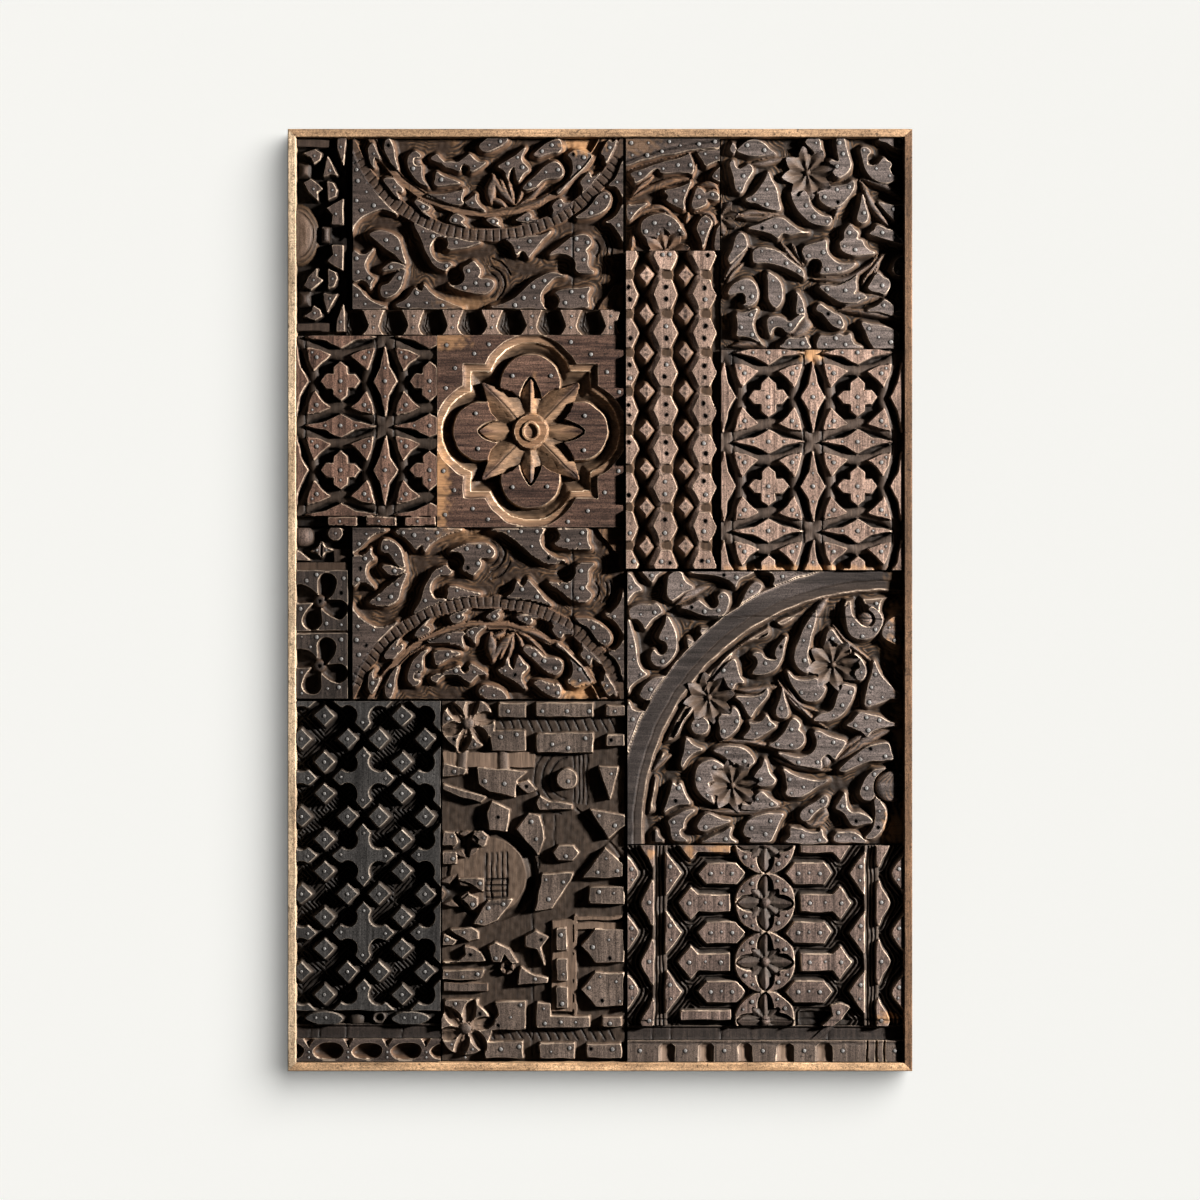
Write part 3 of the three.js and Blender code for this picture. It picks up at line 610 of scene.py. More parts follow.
QUARTER_ARCH_ISLANDS = """
    0,350 5,349 10,339 17,332 13,330 8,328 3,322 0,318; 20,357 27,346 31,342 34,345 38,350 45,357;
    54,350 52,340 52,325 57,318 61,320 73,328 84,334 76,340 72,346 70,353 62,354; 88,353 112,351 128,346
    137,340 141,336 144,342 150,348 157,352 160,357 88,357; 70,309 80,311 92,317 97,314 103,309 109,306
    116,309 119,315 118,323 124,327 130,324 132,317 130,308 126,300 118,297 104,297 90,301 78,306;
    147,306 150,318 156,331 163,340 169,341 175,336 172,329 171,324 181,327 181,323 165,315; 3,305
    10,310 17,312 30,311 38,312 44,303 39,299 31,293 25,285 22,282 19,288 12,293 4,294; 51,296 57,287
    62,275 63,262 61,249 55,239 46,233 37,233 31,239 31,247 34,252 38,247 44,245 50,249 52,257 49,264
    41,268 44,276 49,286; 79,267 85,263 92,261 86,254 79,246 80,256; 95,280 103,281 112,282 106,276
    100,269 98,274; 0,286 4,283 8,268 10,252 13,238 18,227 24,221 17,217 9,211 3,205 0,203; 18,198
    22,206 30,213 40,217 54,218 46,207 38,198 34,191 28,189 21,190 17,194; 0,181 6,176 14,172 22,171
    17,158 11,144 6,131 2,122 0,122; 180,357 188,353 192,346 192,337 206,342 222,348 236,353 244,357;
    143,263 155,272 168,282 177,290 179,284 183,279 182,273 170,269 155,266; 92,211 102,222 112,233
    122,246 132,259 138,255 134,243 131,236 139,240 142,228 146,217 151,211 141,209 136,202 130,206
    126,217 116,213 109,216 105,222 98,216; 141,191 152,192 164,192 175,196 182,202 182,194 174,184
    166,175 160,166 156,172 151,181 146,187; 163,247 168,249 175,247 178,243 185,240 194,241 192,247
    194,255 199,262 206,269 204,258 202,246 197,236 190,228 180,222 170,221 163,223 167,230 169,237
    167,244; 195,300 200,305 210,310 225,316 247,323 240,316 228,307 218,297 208,290 200,287 196,292;
    202,202 204,190 207,180 209,170 206,165 199,165 194,171 195,180 199,192; 246,304 238,295 230,282
    224,268 219,254 217,242 220,232 226,226 234,224 237,231 235,240 234,247 236,258 238,268 242,282;
    261,276 267,278 271,272 277,264 285,256 289,252 282,253 277,256 271,262 266,257 260,253 259,262;
    290,322 285,311 283,298 285,286 290,275 298,269 309,267 319,270 327,277 331,287 330,297 325,305
    318,309 314,306 320,301 323,292 319,284 312,282 304,285 298,291 292,298 290,308; 311,330 315,334
    325,335 337,334 346,329 338,325 331,318 328,310 327,304 322,309 314,311 310,316 309,323; 335,285
    345,295 356,296 356,262 342,264 333,272; 295,247 300,243 306,236 310,229 311,223 308,217 301,214
    296,218 297,226 303,230 300,238; 321,238 325,228 332,217 342,206 353,196 351,191 342,190 330,185
    318,181 310,181 311,195 313,208 318,220 320,230; 209,223 216,216 225,213 236,213 245,215 249,207
    257,202 253,193 245,187 235,187 226,192 219,200 213,211; 279,207 288,206 295,203 294,193 289,182
    282,173 273,166 262,161 252,160 243,162 252,169 262,172 269,178 272,188 275,199; 42,137 48,150
    56,166 64,180 72,192 80,203 81,195 80,188 75,182 84,178 80,172 74,165 70,155 66,146 58,138 50,136;
    33,126 37,121 43,116 47,117 43,110 36,104 30,97 26,91 29,86 34,85 36,78 33,65 32,52 33,44 24,42
    11,44 10,55 12,68 16,82 21,97 27,112; 58,80 63,76 69,78 72,70 76,62 81,54 76,52 64,51 55,47 48,43
    51,52 55,64 57,72; 122,168 134,169 137,177 143,173 146,165 145,156 140,148 132,141 124,137 121,143
    121,153 119,161; 76,136 82,131 90,127 96,124 90,121 84,117 77,110 71,101 70,108 73,120 74,130;
    112,122 125,126 140,127 150,124 158,118 163,111 164,106 160,103 155,99 150,101 145,105 141,107
    137,104 134,107 128,113 120,118; 102,108 110,109 118,106 125,101 118,98 116,90 112,84 104,80 108,72
    110,62 111,54 104,58 96,65 90,75 88,86 90,97 95,104; 144,47 147,52 156,51 161,53 164,59 169,65
    175,67 181,62 187,57 195,51 182,46 162,45; 166,82 166,88 170,95 175,102 178,110 181,101 185,92
    192,83 188,77 178,75 170,77; 4,35 9,29 15,24 20,22 17,15 14,6 13,3 3,3; 24,4 30,10 37,17 40,10 46,4;
    54,30 60,35 68,40 80,44 86,44 80,39 75,33 73,27 73,22 69,20 67,15 70,9 77,4 62,4 57,12 56,22; 91,23
    94,30 99,36 106,38 115,35 125,32 133,30 124,27 112,22 102,18 95,18; 100,4 112,10 124,16 135,21
    133,12 135,6 138,2 100,2; 151,16 153,22 157,29 164,34 175,37 188,39 202,39 198,31 194,22 190,12
    187,5 180,3 160,3 161,9 155,11; 151,138 156,146 160,153 158,158 165,157 175,160 181,167 185,161
    192,154 185,149 176,143 165,137; 184,129 193,134 201,142 208,152 213,160 218,162 224,155 222,149
    228,143 230,135 226,128 218,124 206,123 194,125; 198,117 212,114 228,113 239,117 246,126 247,136
    243,146 250,146 262,140 275,136 283,133 279,125 274,117 270,111 263,117 256,116 251,110 252,104
    250,99 236,100 220,104 208,110; 286,155 293,160 300,170 308,171 318,168 330,164 342,159 352,158
    350,155 340,154 328,151 318,147 312,141 306,146 297,149 292,152; 276,96 283,104 292,112 302,120
    315,127 330,130 340,130 343,120 345,111 335,110 320,109 305,105 292,99 282,95; 203,98 212,92 224,87
    238,83 250,82 260,84 252,78 242,72 232,66 224,62 212,62 206,66 208,73 207,82 206,90; 225,36 228,44
    236,50 246,55 256,62 260,58 258,50 250,46 243,40 236,32 229,31; 212,20 220,19 226,19 232,16 240,14
    248,15 252,18 254,10 257,2 208,2 212,10; 272,48 277,57 283,66 284,55 286,46 292,40 302,40 312,36
    318,29 308,27 296,24 290,27 284,38 278,44; 325,97 318,94 310,86 305,76 303,67 306,60 311,57 317,58
    321,63 322,72 324,82 328,91 335,98; 322,56 323,44 322,30 318,18 310,9 320,8 329,16 335,30 335,44
    331,52 326,60; 271,3 272,14 280,15 292,14 300,12 306,7 310,4 300,2
"""

LEAF_ISLANDS = """
    10,70 12,78 18,85 26,89 34,89 41,86 46,79 48,71 46,63 41,58 34,56 28,57 32,60 32,67 29,72 23,73
    16,71; 60,99 66,96 72,91 77,84 79,75 79,66 76,58 71,54 66,57 62,63 61,75 61,88; 43,127 52,131 64,129
    76,124 84,119 92,112 100,106 106,101 107,93 104,94 98,98 88,103 78,107 66,111 54,112 44,111 42,118;
    12,112 10,118 15,128 17,138 19,146 24,150 30,146 33,139 33,133 27,126 20,120; 20,46 26,46 33,47
    40,49 46,50 43,42 41,32 42,24 44,17 49,10 54,5 46,9 38,13 28,16 20,17 22,26 22,36; 61,39 67,41 75,40
    81,38 86,35 92,36 97,40 104,44 108,43 101,35 97,28 92,22 85,21 80,26 72,28 66,25 63,18 61,28; 76,2
    82,6 85,11 90,13 98,12 106,13 110,14 112,8 114,1 90,0; 98,73 102,66 106,58 108,50 108,46 103,45
    99,46 99,56 99,66; 113,134 120,136 130,139 136,140 137,128 141,120 148,113 156,110 168,110 174,110
    166,104 154,99 142,97 130,97 128,100 132,106 131,113 126,117 119,117 112,114 108,119 105,126
    108,132; 157,140 156,132 160,126 168,122 178,121 190,123 200,125 192,129 186,134 180,141; 128,80
    138,81 148,81 158,84 168,89 176,94 175,86 176,78 172,71 178,72 184,70 189,66 182,63 176,60 166,60
    156,60 150,62 142,68 135,74; 192,79 197,88 201,96 205,98 212,93 218,89 220,82 217,76 212,71 205,73
    198,74; 190,49 200,54 207,59 212,63 218,60 224,54 224,47 222,43 212,46 202,48; 128,58 136,52 146,46
    154,42 158,36 159,30 155,26 150,27 143,31 138,38 132,46 125,50; 129,15 136,15 144,15 153,18 160,16
    168,19 170,12 174,5 180,0 129,-2; 183,33 194,31 205,30 216,27 226,23 231,16 229,9 224,6 226,0 204,-1
    197,4 191,13 187,23; 223,104 226,112 232,118 238,119 238,96 229,95 225,99; 225,45 231,48 238,46
    236,42 229,42; 21,258 27,265 34,270 44,271 56,266 64,258 70,253 60,252 48,251 36,251 27,254; 12,260
    15,267 19,260 16,255; 11,241 16,244 18,236 24,233 30,236 36,239 41,233 37,225 32,216 28,206 24,203
    19,208 17,220 13,231; 61,229 65,219 70,211 73,203 75,192 77,180 66,181 56,185 46,189 36,190 32,194
    40,198 47,205 53,214 58,222; 36,156 46,160 56,165 66,169 76,170 82,168 88,162 96,157 106,152 113,151
    100,151 90,149 80,149 74,143 66,149 56,153 46,154; 92,203 100,206 108,205 114,199 115,190 119,182
    126,176 134,172 142,170 143,165 139,160 130,160 120,163 111,168 103,176 97,186 93,195; 125,203
    132,206 138,209 146,211 156,212 165,214 172,218 173,211 170,204 164,196 158,189 150,185 142,184
    134,188 129,194 128,200; 151,274 160,274 163,262 166,250 168,240 166,231 160,225 152,223 147,228
    142,237 141,244 148,243 153,244 152,255; 110,268 116,274 126,274 130,262 132,253 124,254 118,260;
    182,260 188,262 193,258 194,252 192,245 190,240 196,238 203,239 207,243 211,248 216,244 222,240
    219,233 223,226 228,223 224,218 216,215 208,216 199,221 192,228 187,236 184,247; 206,271 216,267
    228,262 238,260 239,268 233,275 210,275; 183,199 186,190 189,182 191,173 189,166 183,163 178,167
    178,175 181,185; 205,190 214,187 226,186 238,187 236,181 231,175 226,167 220,173 212,181; 193,149
    200,154 203,160 209,158 215,155 222,154 226,150 231,143 238,136 226,138 215,142 204,146; 160,150
    163,156 168,161 173,155 178,150 176,143 181,138 170,136 158,137 160,144
"""

CORNER_ISLANDS = """
    -4,112 20,117 45,123 70,128 95,132 126,136 126,150 -4,150; 6,99 14,103 26,107 38,111 52,115 66,119
    78,123 82,124 86,116 88,108 86,101 80,101 68,101 56,101 46,101 43,106 36,105 28,100 20,93 12,88
    11,93; 50,77 60,79 70,82 80,86 84,88 80,79 77,70 75,61 75,54 68,57 60,61 53,65 55,71; 92,79 96,80
    100,78 103,74 110,76 118,74 121,67 114,65 105,67 104,61 98,57 90,54 86,56 88,66; 20,30 22,38 30,44
    40,46 50,46 60,42 68,34 73,26 76,21 68,20 60,19 56,24 50,28 48,21 43,18 38,14 30,12 25,17 21,23;
    2,58 8,58 16,59 26,61 17,54 10,47 4,39 1,44; 93,28 95,36 99,42 104,44 110,40 111,34 107,26 104,18
    101,8 99,5 98,14 95,22; 94,127 104,129 116,130 126,131 126,116 118,116 110,113 104,110 101,116
    97,122; 112,96 117,103 124,107 124,90 118,91; 118,24 121,30 125,32 125,0 117,1 116,12
"""


def carve_flower(relief, x, z, radius):
    """A hollow flower: pointed petals that rise from a deep middle, with a ridge down each and a boss."""
    petals, twist, notch, boss = 8, 0.03, 0.36, 3.4
    part = relief.near(Disc(x, z, radius).box)
    across = relief.drawn_x[part] - x
    upward = relief.drawn_z[part] - z
    turned = np.arctan2(upward, across) / math.tau - twist
    off_ridge = 2 * from_whole(turned * petals)
    reach = np.hypot(across, upward)
    outside = relief.snap(part, (reach - radius * (1 - notch * off_ridge)) * 0.8)
    share = np.clip(reach / radius, 0, 1)
    bowl = 0.6 + FLOWER_DEPTH * (1 - share) ** 0.8 + 6.5 * off_ridge * np.sqrt(share) * (1.25 - share)
    inside = outside <= 0
    put(relief.depth, part, inside, bowl)
    put(relief.edge, part, inside, -1.2 - 5 * off_ridge)
    for marks in (relief.stain_and_shade, relief.raw_and_highlight):
        put(marks, part, inside, 0.0)
    relief.raise_up(Disc(x, z, boss), top=FLOWER_DEPTH - 4, dome=2, dome_width=boss)


def roof_leaf(relief, x, z, degrees, halves, top, fall, dip=0.0, stain_and_shade=0.0):
    """A pointed leaf like a low roof: a ridge down its middle, and two sides that fall away from it.
    Pairs give its half width at each distance from its foot. With a dip its foot lies lower."""
    turn = math.radians(degrees)
    ahead, aside = math.cos(turn), math.sin(turn)
    sides = halves + [(along, -half) for along, half in reversed(halves)]
    points = [(x + along * ahead - half * aside, z + along * aside + half * ahead) for along, half in sides]
    part, distance, _ = relief.measured(Outline(points))
    across = np.abs((relief.drawn_z[part] - z) * ahead - (relief.drawn_x[part] - x) * aside)
    along = (relief.drawn_x[part] - x) * ahead + (relief.drawn_z[part] - z) * aside
    foot = dip * np.clip(1 - along / halves[-1][0], 0, 1)
    inside = distance <= 0
    put(relief.depth, part, inside, top + fall * across + foot)
    put(relief.stain_and_shade, part, inside, stain_and_shade)
    put(relief.edge, part, inside, np.clip(0.5 - distance, 0.5, 3))


def petal_flower(relief, x, z, radius, petals):
    """A flower of hollow petals, deepest at their tips, cut into a round plate, with a boss."""
    relief.raise_up(Disc(x, z, 0.9 * radius))
    for k in range(petals):
        degrees = 12 + 360 / petals * k
        foot, middle, tip = (around(x, z, share * radius, degrees) for share in (0.12, 0.86, 1.06))
        relief.sink(stroke(leaf_half, (*foot, *tip, 0.06 * radius, 0.52 * radius)), 12, slant=0.55)
        relief.score([foot, middle], -1.6, 0.0)
    relief.sink(Disc(x, z, 0.26 * radius), 5, rounding=3)
    relief.raise_up(Disc(x, z, 0.18 * radius), top=0.5, dome=2, dome_width=0.18 * radius)


def sunk_star(relief, x, z, radius, turn):
    """A five-pointed star cut deep into the wood, with sloping sides."""
    star = Outline([around(x, z, radius * (0.42 if k % 2 else 1.0), turn + 36 * k) for k in range(10)])
    relief.raise_up(Disc(x, z, 0.66 * radius), top=3)
    relief.sink(star, 15, rounding=9)
    part, distance, _ = relief.measured(star, snap=False)
    relief.darken(part, 0.5 * np.clip(-distance / 2, 0, 1))


def raise_strands(relief, strands):
    """Slim rounded leaves that stand in the channels: start, end, bow and width of each."""
    for values in strands:
        relief.raise_up(stroke(leaf_half, values), top=2.5, dome=4.5, dome_width=5)


def sink_eyes(relief, eyes):
    """The deep round eyes of the scrolls: place and radius of each."""
    for eye in eyes:
        relief.sink(Disc(*eye), EYE_DEPTH, rounding=EYE_ROUND)


def carve_arch(relief):
    """Arch of beads and teeth over the scrolls, with a bud in the middle and two combed turns."""
    x, z = 175, 290
    bead_inner, bead_outer = 186, 201
    bead_count, first_bead, bead_pitch = 43, 207, 2.96
    relief.carve_round(outlines(ARCH_ISLANDS))
    reach = np.hypot(relief.drawn_x - x, relief.drawn_z - z)
    for inner, outer, top in ((bead_inner, bead_outer, BAND_DEPTH), (160, 169, 5.5)):
        relief.raise_up(Ring(x, z, inner, outer), top=top, steep=3.0)
    on_beads = (reach > bead_inner + 0.5) & (reach < bead_outer - 0.5)
    put(relief.edge, EVERYWHERE, on_beads, -4.0)
    put(relief.stain_and_shade, EVERYWHERE, on_beads, 0.66)
    sink_eyes(relief, [
        (113, 84, 10), (133, 43, 13), (258, 9, 11), (275, 57, 13), (146, 183, 6), (221, 66, 5),
    ])
    for k in range(bead_count):
        degrees = first_bead + bead_pitch * k
        ends = [around(x, z, radius, degrees) for radius in (bead_inner + 2, bead_outer - 1)]
        relief.score(ends, 1.8, 0.95)
    relief.score(arc_points(x, z, 162, 205, 335), 2.5)
    combed_turns = {
        (172, 33): ((17, 65, -65), (25, 72, -50), (35, 75, 20)),
        (305, 80): ((15, 55, -40), (26, 40, -20), (32, 30, -20)),
    }
    for centre, grooves in combed_turns.items():
        for radius, first, last in grooves:
            relief.score(arc_points(*centre, radius, first, last), 3.0, 0.9)
    raise_strands(relief, [
        (212, 136, 181, 178, 5, 11), (212, 136, 192, 172, 4, 9), (211, 138, 203, 172, 2, 7),
        (212, 136, 219, 158, -2, 6), (211, 134, 262, 153, -4, 9), (211, 133, 252, 168, -3, 8),
        (180, 136, 184, 176, 2, 15), (200, 132, 178, 142, -3, 9),
    ])
    relief.raise_up(Disc(83, 192, 5.5), top=1, dome=3, dome_width=5)
    relief.raise_up(Outline([(318, -2), (354, -2), (354, 36), (340, 30)]), top=8)
    relief.bare(299, 214, 20, 10)
    relief.bare(150, 8, 30, 10, 0.35)
    relief.score([(287, 28), (286, 90), (288, 160)], 1.5, 0.9)
    relief.nail_flats(spacing=14)


def carve_quarter_arch(relief):
    """Quarter arch: a flat band with a deep groove inside it, and scrolls on both sides."""
    x, z = 330, 20
    islands = outlines(QUARTER_ARCH_ISLANDS)
    islands.append(Disc(94, 154, 11))
    inner, outer = 312, 343
    relief.carve_round(islands, cleared=Ring(x, z, 299, 346), band=Ring(x, z, inner, outer))
    reach = np.hypot(relief.drawn_x - x, relief.drawn_z - z)
    on_band = (relief.edge >= 0) & (reach > inner - 1.5) & (reach < outer + 1.5)
    surface = np.interp(reach, [inner, 321, 322.5, 324, outer - 1], [5, 4, 4.6, 2.6, 2.0])
    put(relief.depth, EVERYWHERE, on_band, surface)
    put(relief.stain_and_shade, EVERYWHERE, on_band & (reach > inner + 1), np.where(reach > outer - 2, 0.1, 0.8))
    for nearer, farther, least in ((294, inner + 1, 5), (outer - 2, 349, 2)):
        beside = (reach > nearer) & (reach < farther) & ~on_band
        put(relief.depth, EVERYWHERE, beside, np.maximum(relief.depth, least))
    for flower in ((106, 190, 34), (268, 234, 35), (137, 76, 35)):
        carve_flower(relief, *flower)
    raise_strands(relief, [
        (272, 107, 350, 150, 6, 13), (268, 112, 338, 152, 7, 7), (262, 322, 240, 284, -3, 12),
        (268, 285, 322, 236, -4, 7), (206, 196, 236, 170, -3, 7), (140, 201, 196, 206, -3, 10),
        (32, 94, 58, 116, 3, 10), (62, 312, 108, 336, 3, 12), (150, 300, 222, 330, 4, 8),
        (100, 200, 150, 260, 6, 7), (196, 214, 250, 172, -8, 8), (204, 214, 262, 150, -8, 7),
        (120, 132, 196, 122, 6, 8), (190, 112, 268, 96, -4, 8), (96, 44, 210, 52, -6, 9),
    ])
    bulge = smooth([(232, 27), (240, 32), (250, 44), (258, 47), (262, 38), (255, 26), (245, 21), (236, 21)])
    relief.raise_up(bulge, top=2, dome=4, dome_width=9)
    relief.sink(Disc(344, 75, 24), SCROLL_DEPTH, rounding=4)
    relief.raise_up(Disc(344, 75, 19), top=1, dome=2, dome_width=6)
    relief.raise_up(Disc(311, 293, 9), top=0.5, dome=4, dome_width=8.5)
    relief.raise_up(Disc(257, 108, 7.5), top=0.5, dome=4, dome_width=8)
    relief.score([(40, 297), (120, 296), (230, 297), (330, 293)], 1.3, 0.9)
    for patch in (
        (352, 350, 12, 14), (352, 300, 10, 16), (346, 255, 12, 12), (350, 20, 12, 18), (356, 150, 7, 40),
    ):
        relief.bare(*patch, 0.8)
    relief.nail_flats()


def carve_leaf(relief):
    """Leafy scrolls with a flower, and part of a second one at the left edge."""
    relief.carve_round(outlines(LEAF_ISLANDS))
    sink_eyes(relief, [(122, 107, 10), (25, 66, 7), (198, 247, 8)])
    carve_flower(relief, 113, 229, 35)
    carve_flower(relief, -1, 172, 24)
    raise_strands(relief, [
        (4, 90, 36, 128, 4, 8), (8, 86, 30, 112, 3, 7), (30, 136, 92, 124, -5, 9),
        (78, 140, 108, 106, -3, 7), (92, 138, 109, 108, -2, 6), (158, 53, 208, 68, 3, 13),
        (216, 124, 184, 80, -4, 7), (212, 124, 196, 86, -2, 5), (178, 222, 146, 164, -4, 12),
        (180, 220, 194, 192, 2, 6), (182, 218, 222, 156, -4, 11), (182, 222, 238, 192, 5, 9),
        (206, 124, 118, 92, 16, 8), (10, 176, 78, 178, -7, 7), (10, 170, 80, 172, 6, 7),
        (36, 240, 86, 250, -2, 9), (150, 50, 236, 36, 3, 8), (12, 3, 60, 2, 4, 9),
    ])
    bulge = smooth([(108, 42), (101, 34), (96, 26), (90, 19), (98, 13), (108, 16), (115, 24), (118, 32)])
    relief.raise_up(bulge, top=2.5, dome=4, dome_width=9)
    relief.nail_flats(spacing=15)


def carve_leaf_corner(relief):
    """A piece of a wide arch across the top, with leaves under it."""
    relief.carve_round(outlines(CORNER_ISLANDS))
    carve_flower(relief, 52, -2, 31)
    raise_strands(relief, [
        (8, 70, 36, 98, 2, 8), (4, 66, 84, 94, 6, 8), (80, 50, 78, 36, 0, 6), (86, 92, 94, 114, 2, 7),
        (94, 84, 120, 78, 6, 9), (90, 48, 116, 26, 12, 8), (2, 38, 72, 22, 26, 8), (6, 0, 10, 20, 0, 7),
    ])
    relief.score(arc_points(180, -402, 548, 88, 114), 1.8, 0.8)
    relief.bare(12, 138, 24, 12, 0.25)
    relief.nail_flats(spacing=15)


class Motif:
    """A flat figure that repeats over a block: its outline, rounded or not, and its nails."""

    def __init__(self, points, nails, rounded=False):
        self.points = points
        self.nails = nails
        self.rounded = rounded

    def placed(self, x, z, side):
        """The figure's shape and nails about a point, mirrored where side is -1."""
        points = [(x + side * px, z + pz) for px, pz in self.points]
        nails = [(x + side * px, z + pz) for px, pz in self.nails]
        return smooth(points) if self.rounded else Outline(points), nails


def four_arms(points):
    """A four-armed outline from the points of its first arm."""
    turned = []
    for k in range(4):
        for px, pz in points:
            turned.append([(px, pz), (-pz, px), (-px, -pz), (pz, -px)][k])
    return turned


def moved(points, x, z):
    """Points about a new middle."""
    return [(px + x, pz + z) for px, pz in points]


def carve_tracery(relief, first_x, first_z, lowest):
    """Crosses, triangles and diamonds standing over interlaced round bands. The first cross has its middle
    at a point, and nothing stands wholly below the lowest height."""
    pitch = 116.0
    half = pitch / 2
    band_radius, band_half = 82, 6
    cross_room, band_room = -60, -95
    cross = four_arms([(25, 0), (18, 8.5), (8.5, 8.5), (8.5, 18)])
    triangle = [(34, 14), (40, 28), (43, 43), (28, 40), (14, 34), (25, 25)]
    tall = [(15, 0), (5, 18), (0, 45), (-5, 18), (-15, 0), (-5, -18), (0, -45), (5, -18)]
    wide = [(pz, px) for px, pz in tall]
    columns = range(-1, 4)
    centres = [(first_x + pitch * i, first_z + pitch * j) for i in columns for j in columns]
    inside = [centre for centre in centres if relief.holds(*centre, cross_room, cross_room, cross_room)]
    for x, z in centres:
        if relief.holds(x, z, band_room, band_room, band_room):
            points = arc_points(x, z, band_radius, 0, 360)
            band = Stroke(points, [band_half] * len(points))
            relief.raise_up(band, top=6.0, steep=2.5, dome=2.0, dome_width=band_half)
    for x, z in inside:
        for line in (x + half - 12, x + half + 12):
            relief.score([(line, z + half - 16), (line, z + half + 16)], 2.0, 0.5)
    islands = []
    for x, z in inside:
        islands.append((moved(cross, x, z), [(x, z), (x, z - 13)]))
        islands.append((moved(tall, x + half, z), [(x + half, z), (x + half, z + 17), (x + half, z - 20)]))
        islands.append((moved(wide, x, z + half), [(x, z + half), (x + 20, z + half), (x - 20, z + half)]))
        for side_x in (-1, 1):
            for side_z in (-1, 1):
                points = [(x + side_x * px, z + side_z * pz) for px, pz in triangle]
                middle = (x + side_x * 31, z + side_z * 31)
                islands.append((points, [middle, (x + side_x * 37, z + side_z * 37.5)]))
    for points, nails in islands:
        if max(pz for _, pz in points) < lowest:
            continue
        relief.raise_up(Outline(points), steep=PLATE_STEEP)
        for k, (x, z) in enumerate(nails):
            if relief.holds(x, z, 3, lowest + 4, 3):
                relief.nail(x, z, NAIL_RADIUS if k == 0 else PIN_RADIUS)


def carve_tracery_right(relief):
    """Tracery with a raw patch at the top, a raw lower edge, a dark corner and a crack."""
    carve_tracery(relief, 61, 109, 2)
    relief.bare(119, 281, 13, 8)
    relief.bare(100, 2, 90, 4, 0.7)
    char = np.hypot((relief.x - 15) / 10, (relief.z - 277) / 12)
    relief.darken(EVERYWHERE, np.clip(1.5 - char, 0, 1))
    relief.score([(46, 0), (45, 34)], 1.2, 0.6)


def carve_tracery_left(relief):
    """Tracery over a sunk lower edge with three flat bars in it."""
    carve_tracery(relief, 57, 72, 12)
    edge = box_shape(-5, -5, relief.width + 10, 17)
    part, distance, _ = relief.measured(edge, snap=False)
    put(relief.depth, part, distance < 0, relief.ground)
    put(relief.edge, part, distance < 0, -FAR)
    for x, width in ((42, 35), (92, 37), (142, 38)):
        relief.raise_up(box_shape(x, 1, width, 9))
        relief.nail(x + width * 0.4, 5.5, PIN_RADIUS)


def carve_rosette(relief):
    """Four-lobed recess with a stepped moulding, four round plates and a flower of eight pointed leaves."""
    x, z = relief.width / 2, relief.height / 2
    axes = [(1, 0), (0, 1), (-1, 0), (0, -1)]
    offset, lobe, half_square = 61, 65, 88
    right, up = relief.drawn_x - x, relief.drawn_z - z
    recess = np.maximum(np.abs(right), np.abs(up)) - half_square
    for ax, az in axes:
        recess = np.minimum(recess, np.hypot(right - ax * offset, up - az * offset) - lobe)
    recess = relief.snap(EVERYWHERE, recess)
    lip = 10
    steps = [(0, 0), (1.2, 3), (4, 4.6), (lip, 5.6), (lip + 1.4, 9), (17, 11.5), (22, 15.5), (30, 16)]
    relief.depth = np.interp(-recess, *zip(*steps))
    relief.edge = np.where(np.abs(recess + lip) < 0.9, -0.3, recess)
    for ax, az in axes:
        relief.raise_up(Disc(x + ax * 62, z + az * 62, 38), top=0.6)
    for ax, az in axes:
        relief.sink(stroke(leaf_half, (x, z, x + ax * 71, z + az * 71, 0, 32)), 12, rounding=3)
    kite = [(12, 5), (28, 15), (40, 20), (52, 19), (64, 13.5), (76, 7), (88, 0.8)]
    for degrees in (45, 135, 225, 315):
        roof_leaf(relief, x, z, degrees, kite, top=1.2, fall=0.36, dip=6)
        relief.score([around(x, z, reach, degrees) for reach in (24, 84)], 1.6, 0.7)
    lance = [(16, 7), (30, 8.5), (44, 12), (54, 9.5), (67, 0.8)]
    for degrees in (0, 90, 180, 270):
        roof_leaf(relief, x, z, degrees, lance, top=1.0, fall=0.5, dip=8)
    button = Disc(x, z, 21.5)
    relief.raise_up(button, top=2.2, steep=2.5)
    relief.lower(button, 2.2)
    relief.raise_up(Disc(x, z, 11.5), top=0.0, steep=3)
    relief.sink(Disc(x, z, 9.5), 4, rounding=3)
    from_middle = np.hypot(right, up)
    put(relief.raw_and_highlight, EVERYWHERE, (from_middle < 22) & (from_middle > 8), 0.45)
    relief.bare(4, 55, 9, 52, 0.9)
    relief.bare(12, 243, 22, 9, 0.6)
    relief.bare(x + 5, z + 44, 3, 26, 0.7)
    relief.score([(0, 41), (28, 42)], 1.2, 0.8)
    for spot in [(12, 237), (48, 226), (67, 238), (23, 207), (11, 181), (174, 241), (200, 225), (221, 202),
                 (22, 48), (46, 24), (66, 10), (10, 16), (8, 73), (196, 21), (170, 7), (218, 45), (236, 73),
                 (237, 176), (98, 197), (148, 197), (50, 148), (53, 102), (192, 145), (191, 100), (98, 52),
                 (143, 53)]:
        relief.nail(*spot)


def lean_stud(relief, points, x):
    """A stud that is steep on its right and falls away in a wide facet on its left."""
    part, distance, _ = relief.measured(Outline(points), margin=WIDE_MARGIN)
    lean = np.clip(0.5 - (relief.drawn_x[part] - x) / 12, 0, 1)
    gentle = np.interp(distance, [0, 7, 9, 30], [0, 3.9, 12, 60])
    surface = lean * gentle + (1 - lean) * WALL_STEEP * np.maximum(distance, 0)
    relief.depth[part] = np.minimum(relief.depth[part], surface)
    relief.edge[part] = np.maximum(relief.edge[part], -distance)


